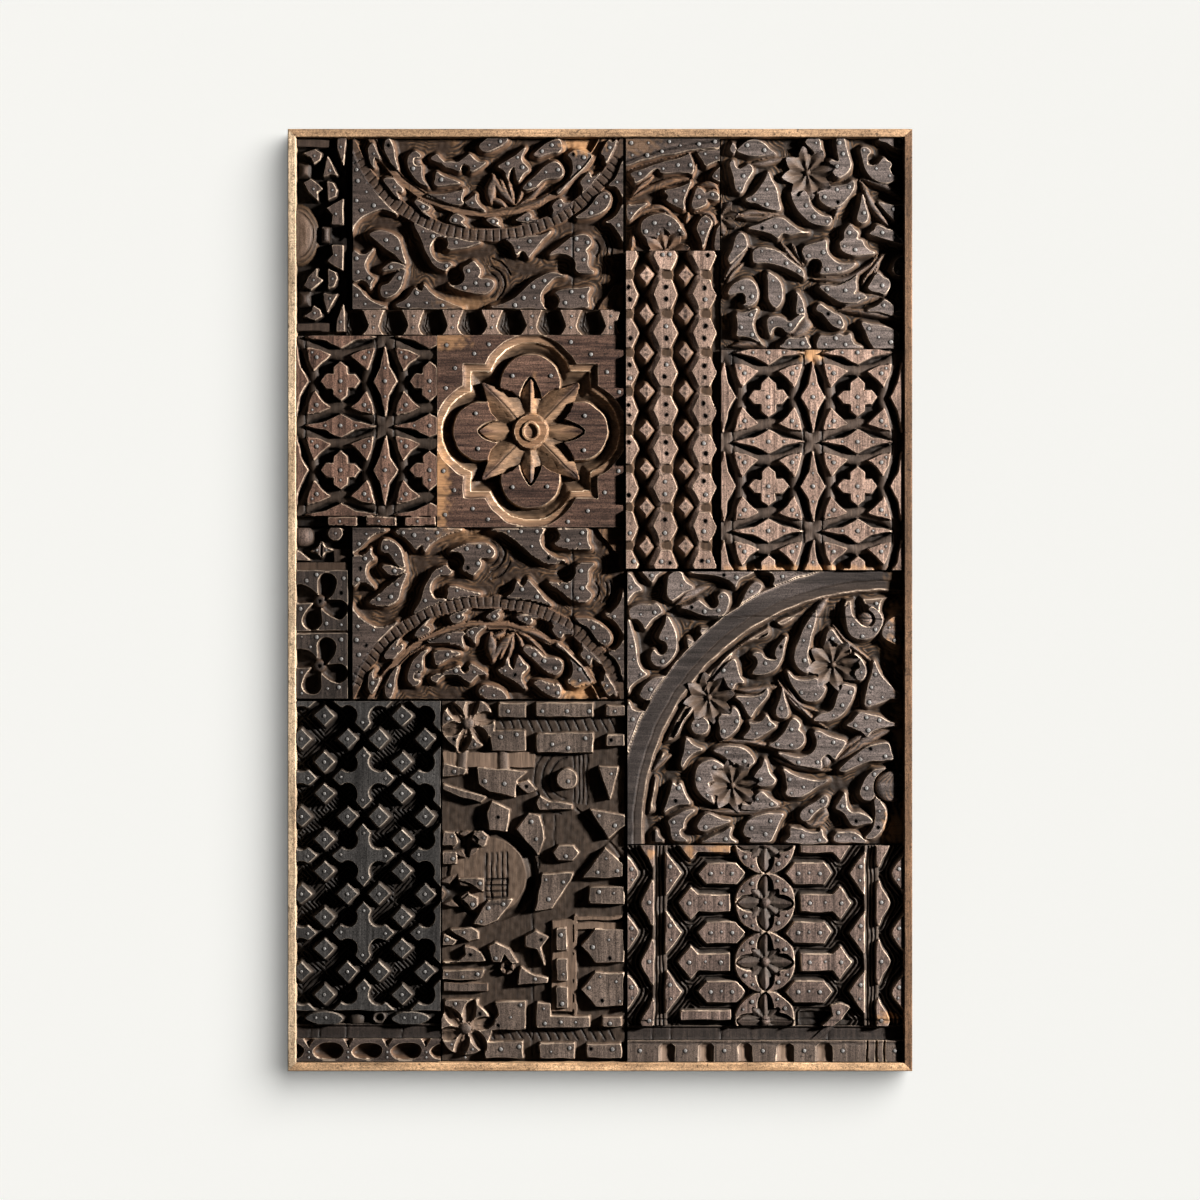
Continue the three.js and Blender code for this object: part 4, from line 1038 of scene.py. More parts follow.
def carve_hexagons(relief):
    """Columns of six-sided studs with sloped sides, saddles between them and small diamonds."""
    pitch_x, pitch_z, first = 51.0, 50.4, 4.0
    columns, rows = 3, 9
    slot_left, slot_depth = 111, 25
    jitter, hole_share = 1.4, 0.55
    rng = random.Random(5)
    hexagon = [(15, 0), (6.5, 18.5), (-6.5, 18.5), (-15, 0), (-6.5, -18.5), (6.5, -18.5)]
    diamond = [(8, 0), (0, 9), (-8, 0), (0, -9)]
    link = [(10, 0), (6.5, 8), (-6.5, 8), (-10, 0), (-6.5, -8), (6.5, -8)]
    for row in range(-1, rows):
        for column in range(columns):
            x, z = column * pitch_x, first + row * pitch_z
            joint = Outline(moved(link, x, z + pitch_z / 2))
            relief.raise_up(joint, top=6.0, steep=1.4)
            part, distance, _ = relief.measured(joint, snap=False)
            relief.darken(part, 0.5 * np.clip(-distance, 0, 1))
            if column < columns - 1:
                between = moved(diamond, x + pitch_x / 2, z + pitch_z / 2)
                relief.raise_up(Outline(between), top=2.5, steep=1.2)
    for row in range(rows):
        for column in range(columns):
            x, z = column * pitch_x, first + row * pitch_z
            lean_stud(relief, moved(hexagon, x, z), x)
            if row in (0, rows - 1):
                spots = [(x - 4, z + 5 - row * 0.4), (x + 5, z + 4 - row * 0.3)]
            else:
                spots = [(x, z - 7.5), (x, z + 8)]
            for spot_x, spot_z in spots:
                spot_x += (4 if column == 0 else 0) + rng.uniform(-jitter, jitter)
                spot_z += rng.uniform(-jitter, jitter)
                if not relief.holds(spot_x, spot_z, 3, 4, 4):
                    continue
                if rng.random() < hole_share:
                    relief.hole(spot_x, spot_z, rng.uniform(2.5, 3.2))
                else:
                    relief.nail(spot_x, spot_z, NAIL_RADIUS * rng.uniform(0.9, 1.1))
    in_slot = np.clip((relief.x - slot_left) / 3, 0, 1) * (relief.depth > 6)
    relief.depth = np.maximum(relief.depth, slot_depth * in_slot)
    for row in range(rows - 1):
        for column in range(columns - 1):
            x, z = (column + 0.5) * pitch_x, first + (row + 0.5) * pitch_z
            for side in (-3.2, 3.2):
                part, distance, _ = relief.measured(Disc(x + 0.5, z + side, 1.3), snap=False)
                relief.darken(part, 0.9 * np.clip(1 - distance / 1.2, 0, 1))


def carve_lattice(relief):
    """Studs in groups of four and four-armed stars, standing over a plait of ribbed straps."""
    cell = 101.0
    group_x, group_z, reach = 36, 68, 30
    rib_pitch, rib_height = 4.6, 1.3
    bite = arc_points(20.5, 20.5, 14, 305, 145, 8)
    star = four_arms([(39, 0), (30, 8.5)] + bite + [(8.5, 30)])
    stud = [(12.5, 0), (0, 12.5), (-12.5, 0), (0, -12.5)]
    diagonal = math.sqrt(0.5)
    right, up = relief.drawn_x - group_x - reach, relief.drawn_z - group_z
    first, second = (right + up) * diagonal, (right - up) * diagonal
    strap = reach / diagonal
    square = strap * np.maximum(from_whole(first / strap), from_whole(second / strap))
    relief.depth += rib_height * np.cos(math.tau * square / rib_pitch) + 1.5
    studs = []
    stars = []
    for column in range(-1, 2):
        for row in range(-1, 5):
            x, z = group_x + column * cell, group_z + row * cell
            for px, pz in [(reach, 0), (0, reach), (-reach, 0), (0, -reach)]:
                studs.append((x + px, z + pz))
            stars.append((x + cell / 2, z + cell / 2))
    for x, z in studs:
        relief.raise_up(Outline(moved(stud, x, z)), steep=3.2)
        if relief.holds(x, z, 4, 22, 4):
            relief.nail(x, z, NAIL_RADIUS * 0.9)
    for x, z in stars:
        relief.raise_up(Outline(moved(star, x, z)))
        for spot in moved([(29, -1), (-29, 1), (1, 29), (-1, -29)], x, z):
            if relief.holds(*spot, 4, 22, 4):
                relief.nail(*spot, PIN_RADIUS * 1.2)
    relief.lower(box_shape(-2, -2, relief.width + 4, 20), relief.ground)
    for x, pins in ((36, (-11, 2)), (148, (-8, 6))):
        relief.raise_up(stroke(leaf_half, (x - 24, 7, x + 24, 7, 0, 17)))
        for offset in pins:
            relief.nail(x + offset, 8, PIN_RADIUS * 1.2)
    relief.raise_up(Ring(107, 8, 5, 9), top=4, dome=2, dome_width=4)
    relief.raise_up(Disc(78, 4, 9), top=7, dome=3, dome_width=8)


def carve_small_rosette(relief, x, z):
    """A round plate with four long leaves, four short ones between them, nails and a boss."""
    long_leaf = [(4, 2), (12, 6), (20, 7.5), (28, 5.5), (35, 0.8)]
    short_leaf = [(4, 2), (10, 4.5), (16, 5.5), (21, 3.5), (25, 0.8)]
    turns = (0, 90, 180, 270)
    relief.raise_up(Disc(x, z, 38), top=0.6, steep=4)
    relief.sink(Disc(x, z, 22), 10, rounding=4)
    for turn in turns:
        tip = around(x, z, 37, turn)
        relief.sink(stroke(leaf_half, (x, z, *tip, 0, 24)), 9, rounding=3)
    for turn in turns:
        roof_leaf(relief, x, z, turn, long_leaf, top=1.6, fall=0.5, dip=4, stain_and_shade=0.5)
        roof_leaf(relief, x, z, turn + 45, short_leaf, top=2.8, fall=0.5, dip=3, stain_and_shade=0.5)
        for degrees, reach, size in ((33.54, 31, NAIL_RADIUS), (61.04, 33, PIN_RADIUS)):
            spot = around(x, z, reach, turn + degrees)
            if relief.holds(*spot, 0, 5, 4):
                relief.nail(*spot, size)
    relief.raise_up(Disc(x, z, 6), top=1, dome=2.5, dome_width=6)


def carve_geometric(relief):
    """Rosettes down the middle with bars, arrows, triangles, rails and waves on each side."""
    middle, pitch = 179, 77
    groove_pitch, groove_depth, groove_reach = 5.2, 2.0, 16.0
    bar = Motif([(-86, 0), (-76, 13), (-38, 13), (-28, 0), (-38, -13), (-76, -13)],
                [(-71, 0), (-57, 1), (-43, 0)])
    arrow = Motif([(-47, -10.5), (-88, -10.5), (-97, -20), (-112, 0), (-97, 20), (-88, 10.5), (-47, 10.5)],
                  [(-99, 0), (-78, 1), (-58, 0)])
    triangle = Motif([(-129, 27), (-129, -27), (-110, 0)], [(-124, 9), (-123, -9)])
    outer_wave = Motif([(-192, 30), (-179, 21), (-170, 9), (-166, 0), (-170, -9), (-179, -21), (-192, -30)],
                       [(-174, 6), (-173, -8)], rounded=True)
    inner_wave = Motif([(-146, -27), (-146, 27), (-152, 18), (-158, 8), (-161, 0), (-158, -8), (-152, -18)],
                       [(-151, 1)], rounded=True)
    flats = []
    rosettes = []
    for row in range(-1, 4):
        bar_z = 44 + row * pitch
        arrow_z = bar_z + pitch / 2
        rosettes.append(arrow_z)
        for side in (1, -1):
            for motif, z in ((bar, bar_z), (triangle, bar_z), (outer_wave, bar_z),
                             (arrow, arrow_z), (inner_wave, arrow_z)):
                flats.append(motif.placed(middle, z, side))
    nearest = relief.nearest([shape for shape, _ in flats], groove_reach, MARGIN)
    relief.depth += groove_depth * np.cos(math.tau * np.maximum(nearest, 0) / groove_pitch)
    for rail in (33, 308):
        relief.raise_up(box_shape(rail, -2, 17, relief.height + 4), top=6.5, steep=3)
        for line in (4, 8.5, 13):
            relief.score([(rail + line, 0), (rail + line, relief.height)], 3.0, 0.9)
    for shape, nails in flats:
        if shape.box[1] > 4 or shape.box[3] > 30:
            relief.raise_up(shape, steep=PLATE_STEEP)
            for k, (x, z) in enumerate(nails):
                if relief.holds(x, z, 3, 5, 3):
                    relief.nail(x, z, PIN_RADIUS if k % 2 else NAIL_RADIUS)
    for z in rosettes:
        carve_small_rosette(relief, middle, z)
    relief.score([(172, 0), (172, relief.height)], 1.2, 0.6)
    relief.score([(0, 7), (relief.width, 7)], 2, 0.8)
    relief.raise_up(box_shape(70, 8, 64, 11), top=1)
    splinter = [(265, 26), (276, 28), (288, 24), (282, 16), (278, 8), (264, -3), (248, -3), (268, 13)]
    relief.raise_up(Outline(splinter), steep=PLATE_STEEP)
    relief.nail(274, 17)
    for patch in ((81, 228, 5, 9), (121, 230, 12, 6), (30, 222, 4, 5), (340, 10, 16, 5)):
        relief.bare(*patch, 0.8)


# Flat pieces of the mixed block: bars as corner, width and height, and the corners of plates.
MIXED_BARS = [
    (75, 449, 33, 17), (124, 450, 72, 16), (215, 451, 22, 12), (65, 405, 43, 25), (124, 403, 72, 24),
    (215, 412, 22, 13), (193, 206, 44, 21), (150, 145, 12, 28), (150, 106, 13, 27), (150, 70, 13, 27),
    (126, 45, 66, 13), (124, 45, 17, 31), (210, 46, 23, 11), (57, 5, 48, 20), (128, 5, 44, 18),
    (190, 5, 43, 17), (5, 60, 42, 20), (2, 282, 18, 16), (2, 258, 16, 14),
]
MIXED_PLATES = [
    [(47, 382), (110, 377), (97, 367), (95, 345), (62, 352), (48, 363)],
    [(205, 384), (219, 343), (229, 383)],
    [(194, 328), (237, 320), (237, 308), (217, 292)],
    [(124, 337), (128, 329), (170, 329), (170, 334), (140, 338), (127, 345)],
    [(185, 240), (235, 240), (235, 258), (212, 277)],
    [(113, 322), (98, 303), (125, 270), (133, 290), (127, 319)],
    [(60, 325), (62, 302), (84, 300), (88, 328), (65, 338)],
    [(131, 243), (122, 196), (143, 200), (166, 235), (170, 245)],
    [(98, 362), (112, 366), (122, 354), (112, 350)],
    [(62, 150), (66, 130), (77, 130), (82, 141), (92, 128), (98, 128), (88, 145), (70, 154)],
    [(103, 122), (99, 101), (137, 103), (137, 108), (120, 112)],
    [(70, 77), (75, 60), (60, 41), (108, 43), (108, 78)],
    [(110, 163), (110, 150), (125, 146), (134, 126), (128, 148), (138, 161), (122, 170)],
    [(60, 209), (42, 180), (55, 178), (72, 185), (92, 211)],
    [(12, 172), (35, 157), (47, 160), (46, 168), (38, 173)],
    [(2, 129), (55, 131), (50, 141), (40, 148), (30, 150), (32, 139), (22, 131)],
    [(2, 118), (54, 118), (50, 110), (44, 107), (2, 107)],
    [(28, 212), (36, 217), (46, 212), (46, 203), (38, 198), (34, 206)],
    [(2, 360), (30, 352), (57, 344), (50, 338), (28, 345), (2, 354)],
    [(2, 152), (2, 165), (18, 157), (14, 152)],
    [(20, 238), (54, 238), (54, 222), (40, 230)],
    [(2, 372), (28, 374), (32, 380), (18, 383), (2, 388)],
    [(40, 298), (52, 300), (60, 292), (56, 282), (46, 278), (50, 290)],
]


def score_mixed_ground(relief):
    """Lines in the ground: cracks, two slanted rope bands, rings round a stud and upright grooves."""
    for crack in ([(118, 5), (118, 330)], [(126, 250), (132, 320)], [(146, 260), (147, 320)]):
        relief.score(crack, 1.2, 0.5)
    for first, z0, z1 in ((62, 430, 449), (60, 27, 43)):
        for k in range(14):
            x = first + 12 * k
            relief.score([(x, z1), (x + 9, z0)], 1.6, 0.6)
    for radius in (28, 38, 48):
        relief.score(arc_points(168, 368, radius, 100, 255, 14), 1.8, 0.7)
    for x in (172, 178, 183, 189):
        relief.score([(x, 335), (x, 408)], 1.8, 0.6)


def carve_window(relief):
    """A round hollow with a low disc in it, scored like a grille."""
    relief.sink(Disc(66, 241, 62), 17, rounding=7)
    relief.raise_up(Disc(60, 241, 49), top=8.5, steep=1.4)
    for z in (205, 213, 221, 229, 237):
        relief.score([(57, z), (84, z)], 2.2, 0.9)
    for x in (57, 64, 71, 78, 85):
        relief.score([(x, 203 if x != 71 else 238), (x, 272)], 1.5, 0.75)
    for x in (64, 84):
        relief.score([(x, 203), (x, 238)], 2.2, 0.9)


def carve_mixed(relief):
    """Bars, studs, shields, plates, stars and flowers standing on a sunk ground."""
    score_mixed_ground(relief)
    carve_window(relief)
    relief.raise_up(box_shape(2, 383, 118, 19), top=5.5)
    for x in (18, 72):
        relief.raise_up(box_shape(x, 374, 15, 37), top=3, dome=3, dome_width=7)
    for ends in ((176, 328, 217, 288), (217, 288, 237, 306), (217, 288, 178, 243), (217, 288, 237, 262)):
        relief.sink(stroke(stem_half, (*ends, 0, 9)), 13, rounding=4)
    for ledge in ((144, 65, 26, 118), (172, 60, 3, 130), (176, 172, 58, 8), (176, 184, 58, 4)):
        relief.raise_up(box_shape(*ledge), top=6.0)
    shield = [(-27, 0), (-19, 8), (-9, 21), (27, 20), (27, -21), (-9, -21), (-19, -8)]
    shields = [moved(shield, 209, z) for z in (151, 94)]
    for values in MIXED_BARS:
        relief.raise_up(box_shape(*values), steep=PLATE_STEEP)
    for points in MIXED_PLATES + shields:
        relief.raise_up(Outline(points), steep=PLATE_STEEP)
    relief.raise_up(box_shape(3, 92, 56, 9), top=2.5)
    relief.raise_up(Disc(163, 368, 12), top=0)
    relief.raise_up(Outline([(146, 272), (151, 280), (171, 280), (178, 272), (170, 263), (152, 263)]))
    for x, z in ((34, 440), (31, 43)):
        petal_flower(relief, x, z, 37, petals=6)
    for star in ((31, 283, 25, 62), (15, 221, 29, 80), (85, 122, 12, 40)):
        sunk_star(relief, *star)
    relief.nail_flats(spacing=19, share_holes=0.1)


def carve_scroll_strip(relief):
    """Tall strip with a half-round boss at its left edge and scroll leaves above and below it."""
    middle = relief.height / 2
    leaves = [
        [(10, 106), (24, 111), (32, 106), (30, 98), (22, 93), (20, 100)],
        [(40, 100), (35, 76), (45, 79), (53, 78)],
        [(18, 72), (10, 67), (16, 56), (27, 45), (26, 56), (33, 60)],
        [(41, 69), (41, 45), (50, 50), (52, 58), (48, 67)],
        [(40, 34), (48, 26), (46, 14), (60, 14), (60, 46)],
        [(53, 126), (53, 112), (60, 92), (63, 126)],
    ]
    for side in (1, -1):
        for points in leaves:
            placed = [(px, middle + side * pz) for px, pz in points]
            relief.raise_up(Outline(placed), steep=4)
            spot = [sum(values) / len(placed) for values in zip(*placed)]
            relief.nail(*spot, PIN_RADIUS)
        relief.raise_up(box_shape(2, middle + side * 84 - 10, 16, 20), top=4, dome=5, dome_width=8)
        relief.raise_up(box_shape(0, middle + side * 120 - 5, 42, 9), top=5)
    half_wide, half_tall = 29, 41
    reach = np.hypot(relief.drawn_x / half_wide, (relief.drawn_z - middle) / half_tall)
    bulge = np.maximum(14 - 15 * np.sqrt(np.clip(1 - reach ** 2, 0, 1)), 0.5)
    put(relief.depth, EVERYWHERE, reach < 1, np.minimum(relief.depth, bulge))
    put(relief.raw_and_highlight, EVERYWHERE, reach < 1, 0.14)
    for share in (0.72, 0.86):
        arc = arc_points(0, 0, share, -85, 85)
        relief.score([(half_wide * px, middle + half_tall * pz) for px, pz in arc], 1.6, 0.6)
    relief.raise_up(box_shape(32, middle - 10, 10, 20), top=2, dome=3, dome_width=5)
    relief.sink(Disc(53, middle, 10), 18, rounding=5)


def carve_pinwheels(relief):
    """Two pinwheels of four sunk blades, one over the other, each with a round button."""
    for x, z in ((29, 42), (30, 126)):
        for degrees in (76, 166, 256, 346):
            end = around(x, z, 39, degrees)
            relief.sink(stroke(drop_half, (x, z, *end, -4, 28)), 13, slant=0.3)
        relief.sink(Disc(x, z, 10.5), 9, rounding=4)
        relief.raise_up(Disc(x, z, 7.5), top=3, dome=2, dome_width=4)
        relief.hole(x, z, 2.6, 7)
    relief.lower(box_shape(-2, 84, relief.width + 4, 4.5), 6)
    relief.lower(box_shape(-2, 166, relief.width + 4, 14), 5)
    relief.nail_flats(spacing=14)


def carve_star(relief):
    """Small block with a four-pointed star, a round stud and corner plates."""
    star = [(18, 14), (27, 12), (32, 5), (36, 12), (47, 15), (36, 18), (32, 26), (27, 18)]
    relief.raise_up(Outline(star))
    relief.raise_up(Disc(8, 33, 13), top=1, dome=4, dome_width=12)
    relief.raise_up(Disc(50, 37, 9))
    relief.raise_up(Outline([(0, 14), (0, 2), (17, 2)]))
    relief.raise_up(box_shape(48, 0, 23, 16), top=5)
    relief.score([(32, 4), (32, 28)], 6, 0.9)
    for spot in ((50, 37), (26, 15), (38, 15)):
        relief.nail(*spot, PIN_RADIUS)


def carve_spools_upper(relief):
    """Row of ribbed shell hollows that leave spool shapes standing between them."""
    pitch = 51.5
    half = [(10, -3), (17, 4), (20, 11), (17, 21), (12, 33)]
    shell = [(-px, pz) for px, pz in half] + half[::-1]
    for k in range(8):
        x = 10 + pitch * k
        relief.sink(Outline(moved(shell, x, 0)), 13, rounding=8)
        for inset in (5, 9):
            relief.score([(x - 14 + inset, 29), (x - 18 + inset, 12), (x - 10 + inset, 1)], -1.8, 0.0)
    for k in range(7):
        x = 35.5 + pitch * k
        relief.nail(x, 9, PIN_RADIUS)
        relief.nail(x + 1, 24, PIN_RADIUS)


def carve_spools_lower(relief):
    """Row of wide hollows with small notches over the bars between them."""
    pitch = 51
    hollow = [(-21, 12), (-15, 20), (-4, 24.5), (12, 23.5), (20, 16), (16, 6.5), (4, 2), (-14, 3.5)]
    notch = [(18, 31), (34, 31), (26, 17)]
    for k in range(-1, 4):
        x = 41 + pitch * k
        relief.sink(smooth(moved(hollow, x, 0)), 13, rounding=10)
        relief.sink(Outline(moved(notch, x, 0)), 9, rounding=4)
        for z in (12, 5):
            relief.nail(x + 25.5, z, PIN_RADIUS)


def carve_band(relief):
    """Plain dark band with a ledge along its top and upright cracks."""
    across = relief.z / relief.height
    relief.depth += np.interp(across, [0, 0.1, 0.74, 0.8, 0.9, 1], [1.5, 2.5, 3, 4.5, 0.5, 0])
    relief.stain_and_shade = np.interp(across, [0, 0.78, 0.82, 1], [0.45, 0.6, 0.1, 0])
    for share in (0.09, 0.155, 0.34, 0.73):
        x = relief.width * share
        relief.score([(x, 0), (x + 1, relief.height)], 1.2, 0.9)


def carve_band_right(relief):
    """The plain band with the handle of the splinter above it lying across."""
    carve_band(relief)
    handle = Stroke([(272, 24), (240, -4)], [3.6, 3.0])
    relief.raise_up(handle, steep=3)
    part, distance, _ = relief.measured(handle, snap=False)
    put(relief.stain_and_shade, part, distance < 0.5, 0.0)


def carve_dentils(relief):
    """Flat bars with a round scoop between each two, and three thin slots at the right end."""
    scoops = ((40, 22), (92, 21), (143, 20), (193, 24), (245, 22))
    for x, width in scoops:
        scoop = [(0, -3), (width, -3), (width, 20), (width - 5, 24), (5, 24), (0, 20)]
        relief.sink(Outline(moved(scoop, x, 0)), 6, rounding=11)
        relief.nail(x + width + 13, 14)
    relief.score([(0, 23.5), (relief.width, 23.5)], 1.4, 0.6)
    for x in (310, 322, 332):
        relief.lower(box_shape(x, -2, 4, relief.height + 4), 9)
    for x in (16, 348):
        relief.nail(x, 14)


# Materials.

def set_inputs(tree, node, inputs):
    """Link or set a node's inputs. Each is given a socket or a value."""
    for key, value in inputs.items():
        if isinstance(value, bpy.types.NodeSocket):
            tree.links.new(value, node.inputs[key])
        else:
            node.inputs[key].default_value = value


def add(tree, kind, inputs=None, **settings):
    """Add a node, set its properties, and link or set its inputs."""
    node = tree.nodes.new(kind)
    for key, value in settings.items():
        setattr(node, key, value)
    set_inputs(tree, node, inputs or {})
    return node


def blend(tree, kind, share, one, two):
    """Mix two colours. The share, and each colour, is a socket or a value."""
    inputs = {0: share, 6: one, 7: two}
    return add(tree, "ShaderNodeMix", inputs, data_type="RGBA", blend_type=kind).outputs[2]


def ranged(tree, value, from_low, from_high, to_low, to_high):
    """A value moved from one range to another, and kept inside it."""
    inputs = {"Value": value, 1: from_low, 2: from_high, 3: to_low, 4: to_high}
    return add(tree, "ShaderNodeMapRange", inputs).outputs[0]


def noise(tree, place, scale, detail, roughness=0.55):
    """Irregular values, with so many waves a metre."""
    inputs = {"Vector": place, "Scale": scale, "Detail": detail, "Roughness": roughness}
    return add(tree, "ShaderNodeTexNoise", inputs).outputs["Fac"]


def grained(tree, place, grain, upright, detail, roughness=0.55):
    """Irregular values drawn out along the grain."""
    across, along = grain
    scale = (across, across, along) if upright else (along, across, across)
    stretched = add(tree, "ShaderNodeMapping", {"Vector": place, "Scale": scale}).outputs[0]
    return noise(tree, stretched, 1.0, detail, roughness)


def value_of(tree, name):
    """A value kept with the points of the mesh."""
    return add(tree, "ShaderNodeAttribute", attribute_name=name).outputs["Fac"]


def product(tree, one, two):
    """Two values multiplied."""
    return add(tree, "ShaderNodeMath", {0: one, 1: two}, operation="MULTIPLY").outputs[0]


def opaque(colour):
    """A colour with full opacity."""
    return (*colour, 1.0)


def new_material(name):
    """A material, its nodes and its shader."""
    material = bpy.data.materials.new(name)
    material.use_nodes = True
    tree = material.node_tree
    return material, tree, tree.nodes["Principled BSDF"]


def wood(name, dark, light, carved, worn=TAN_EDGE, upright=True, wear=0.85, grain=1.0):
    """Old wood: grain along one way, specks, pits and blotches, another colour in what is carved that is
    painted lighter where shallow and darker the deeper it goes as painted light and shade, worn edges, raw
    patches and painted highlights, and soot and painted shade."""
    material, tree, shader = new_material(name)
    place = add(tree, "ShaderNodeTexCoord").outputs["Object"]
    broad = grained(tree, place, BROAD_GRAIN, upright, 6.0, 0.62)
    fibre = grained(tree, place, FINE_GRAIN, upright, 3.0)
    speck = noise(tree, place, 640.0, 3.0, 0.7)
    pits = noise(tree, place, 270.0, 2.0)
    blotch = noise(tree, place, 13.0, 4.0)
    streak = ranged(tree, fibre, 0.3, 0.7, 1 - 0.3 * grain, 1 + 0.2 * grain)
    base = blend(tree, "MIX", ranged(tree, broad, 0.3, 0.66, 0, 1), opaque(dark), opaque(light))
    base = blend(tree, "MULTIPLY", 1.0, base, streak)
    base = blend(tree, "MULTIPLY", 1.0, base, ranged(tree, speck, 0.36, 0.62, 0.5, 1.35))
    base = blend(tree, "MULTIPLY", 1.0, base, ranged(tree, pits, 0.3, 0.4, 0.4, 1.0))
    base = blend(tree, "MULTIPLY", 1.0, base, ranged(tree, blotch, 0.3, 0.7, 0.65, 1.25))
    depth = value_of(tree, "carved")
    sunk = blend(tree, "MULTIPLY", 0.8, opaque(carved), streak)
    # Painted light and shade: what is carved is painted lighter where shallow and darker the deeper it
    # goes.
    sunk = blend(tree, "MULTIPLY", 1.0, sunk, ranged(tree, depth, 0.3, 0.85, 1.6, 0.35))
    sunk = blend(tree, "MULTIPLY", 1.0, sunk, ranged(tree, broad, 0.3, 0.7, 0.6, 1.3))
    base = blend(tree, "MIX", ranged(tree, depth, 0.18, 0.42, 0, 1), base, sunk)
    patchy = ranged(tree, noise(tree, place, 60.0, 3.0), 0.34, 0.64, 0.2, 1.0)
    rubbed = product(tree, ranged(tree, value_of(tree, "worn"), 0.6, 1.0, 0, 1), patchy)
    edge = blend(tree, "MULTIPLY", 0.6, opaque(worn), streak)
    base = blend(tree, "MIX", product(tree, rubbed, wear), base, edge)
    pale = blend(tree, "MULTIPLY", 0.8, opaque(RAW_WOOD_AND_HIGHLIGHT), streak)
    base = blend(tree, "MIX", product(tree, value_of(tree, "raw_and_highlight"), 0.85), base, pale)
    base = blend(tree, "MIX", product(tree, value_of(tree, "stain_and_shade"), 0.85), base, opaque(SOOT_AND_SHADE))
    uneven = blend(tree, "MIX", 0.45, blend(tree, "MIX", 0.45, broad, fibre), speck)
    bump = add(tree, "ShaderNodeBump", {"Strength": 0.55, "Distance": 0.0012, "Height": uneven})
    set_inputs(tree, shader, {
        "Base Color": base,
        "Roughness": ranged(tree, speck, 0.3, 0.7, 0.45, 0.8),
        "Specular IOR Level": 0.25,
        "Normal": bump.outputs[0],
    })
    return material


def nail_metal():
    """Dull grey steel, spotted with rust."""
    material, tree, shader = new_material("nail_steel")
    place = add(tree, "ShaderNodeTexCoord").outputs["Object"]
    spots = noise(tree, place, 380.0, 3.0)
    rusty = ranged(tree, spots, 0.52, 0.66, 0, 0.8)
    bump = add(tree, "ShaderNodeBump", {"Strength": 0.4, "Distance": 0.0004, "Height": spots})
    set_inputs(tree, shader, {
        "Base Color": blend(tree, "MIX", rusty, opaque(STEEL), opaque(RUST)),
        "Roughness": ranged(tree, spots, 0.3, 0.7, 0.55, 0.8),
        "Metallic": 0.3,
        "Normal": bump.outputs[0],
    })
    return material


# Each wood: its dark and light colours, its colour in what is carved (which the material paints darker with
# depth, as painted shade), and what else is its own.
WOODS = {
    "dark_wood": ((0.056, 0.043, 0.036), (0.182, 0.144, 0.127), (0.080, 0.054, 0.038), {"upright": False}),
    "brown_wood": ((0.036, 0.026, 0.021), (0.118, 0.086, 0.071), (0.112, 0.067, 0.042), {"upright": False}),
    "black_wood": ((0.022, 0.017, 0.014), (0.075, 0.056, 0.046), (0.050, 0.031, 0.020), {}),
    "soot_wood": ((0.044, 0.031, 0.025), (0.150, 0.106, 0.085), (0.034, 0.022, 0.015), {}),
    "grey_wood": ((0.052, 0.037, 0.029), (0.168, 0.125, 0.099), (0.125, 0.086, 0.061), {}),
    "deep_red_wood": ((0.055, 0.030, 0.021), (0.215, 0.128, 0.092), (0.042, 0.029, 0.021), {"grain": 1.4}),
    "dusty_red_wood": ((0.060, 0.041, 0.033), (0.225, 0.160, 0.130), (0.085, 0.064, 0.050), {"grain": 1.4}),
    "pink_wood": ((0.125, 0.080, 0.061), (0.380, 0.262, 0.203), (0.066, 0.047, 0.036),
                  {"wear": 0.5, "grain": 1.5}),
    "charcoal_wood": ((0.026, 0.023, 0.021), (0.080, 0.073, 0.067), (0.050, 0.037, 0.028),
                      {"worn": (0.70, 0.57, 0.45), "wear": 0.7}),
    "walnut_wood": ((0.026, 0.013, 0.010), (0.150, 0.088, 0.062), (0.200, 0.124, 0.074),
                    {"worn": (1.0, 0.78, 0.56), "upright": False, "grain": 1.6}),
    "tan_wood": ((0.130, 0.085, 0.064), (0.360, 0.252, 0.196), (0.085, 0.051, 0.030),
                 {"worn": (0.95, 0.73, 0.54)}),
    "dull_tan_wood": ((0.085, 0.056, 0.041), (0.265, 0.183, 0.141), (0.065, 0.041, 0.026), {}),
}
looks = {}
for name, (dark, light, carved, own) in WOODS.items():
    looks[name] = wood(name, dark, light, carved, **own)


# The frame and the nails.

def tube_faces(first, sides, levels):
    """Four-sided faces between rings of points that lie one after another."""
    faces = []
    for level in range(levels):
        start = first + level * sides
        for k in range(sides):
            a, b = start + k, start + (k + 1) % sides
            faces.append((a, b, b + sides, a + sides))
    return faces


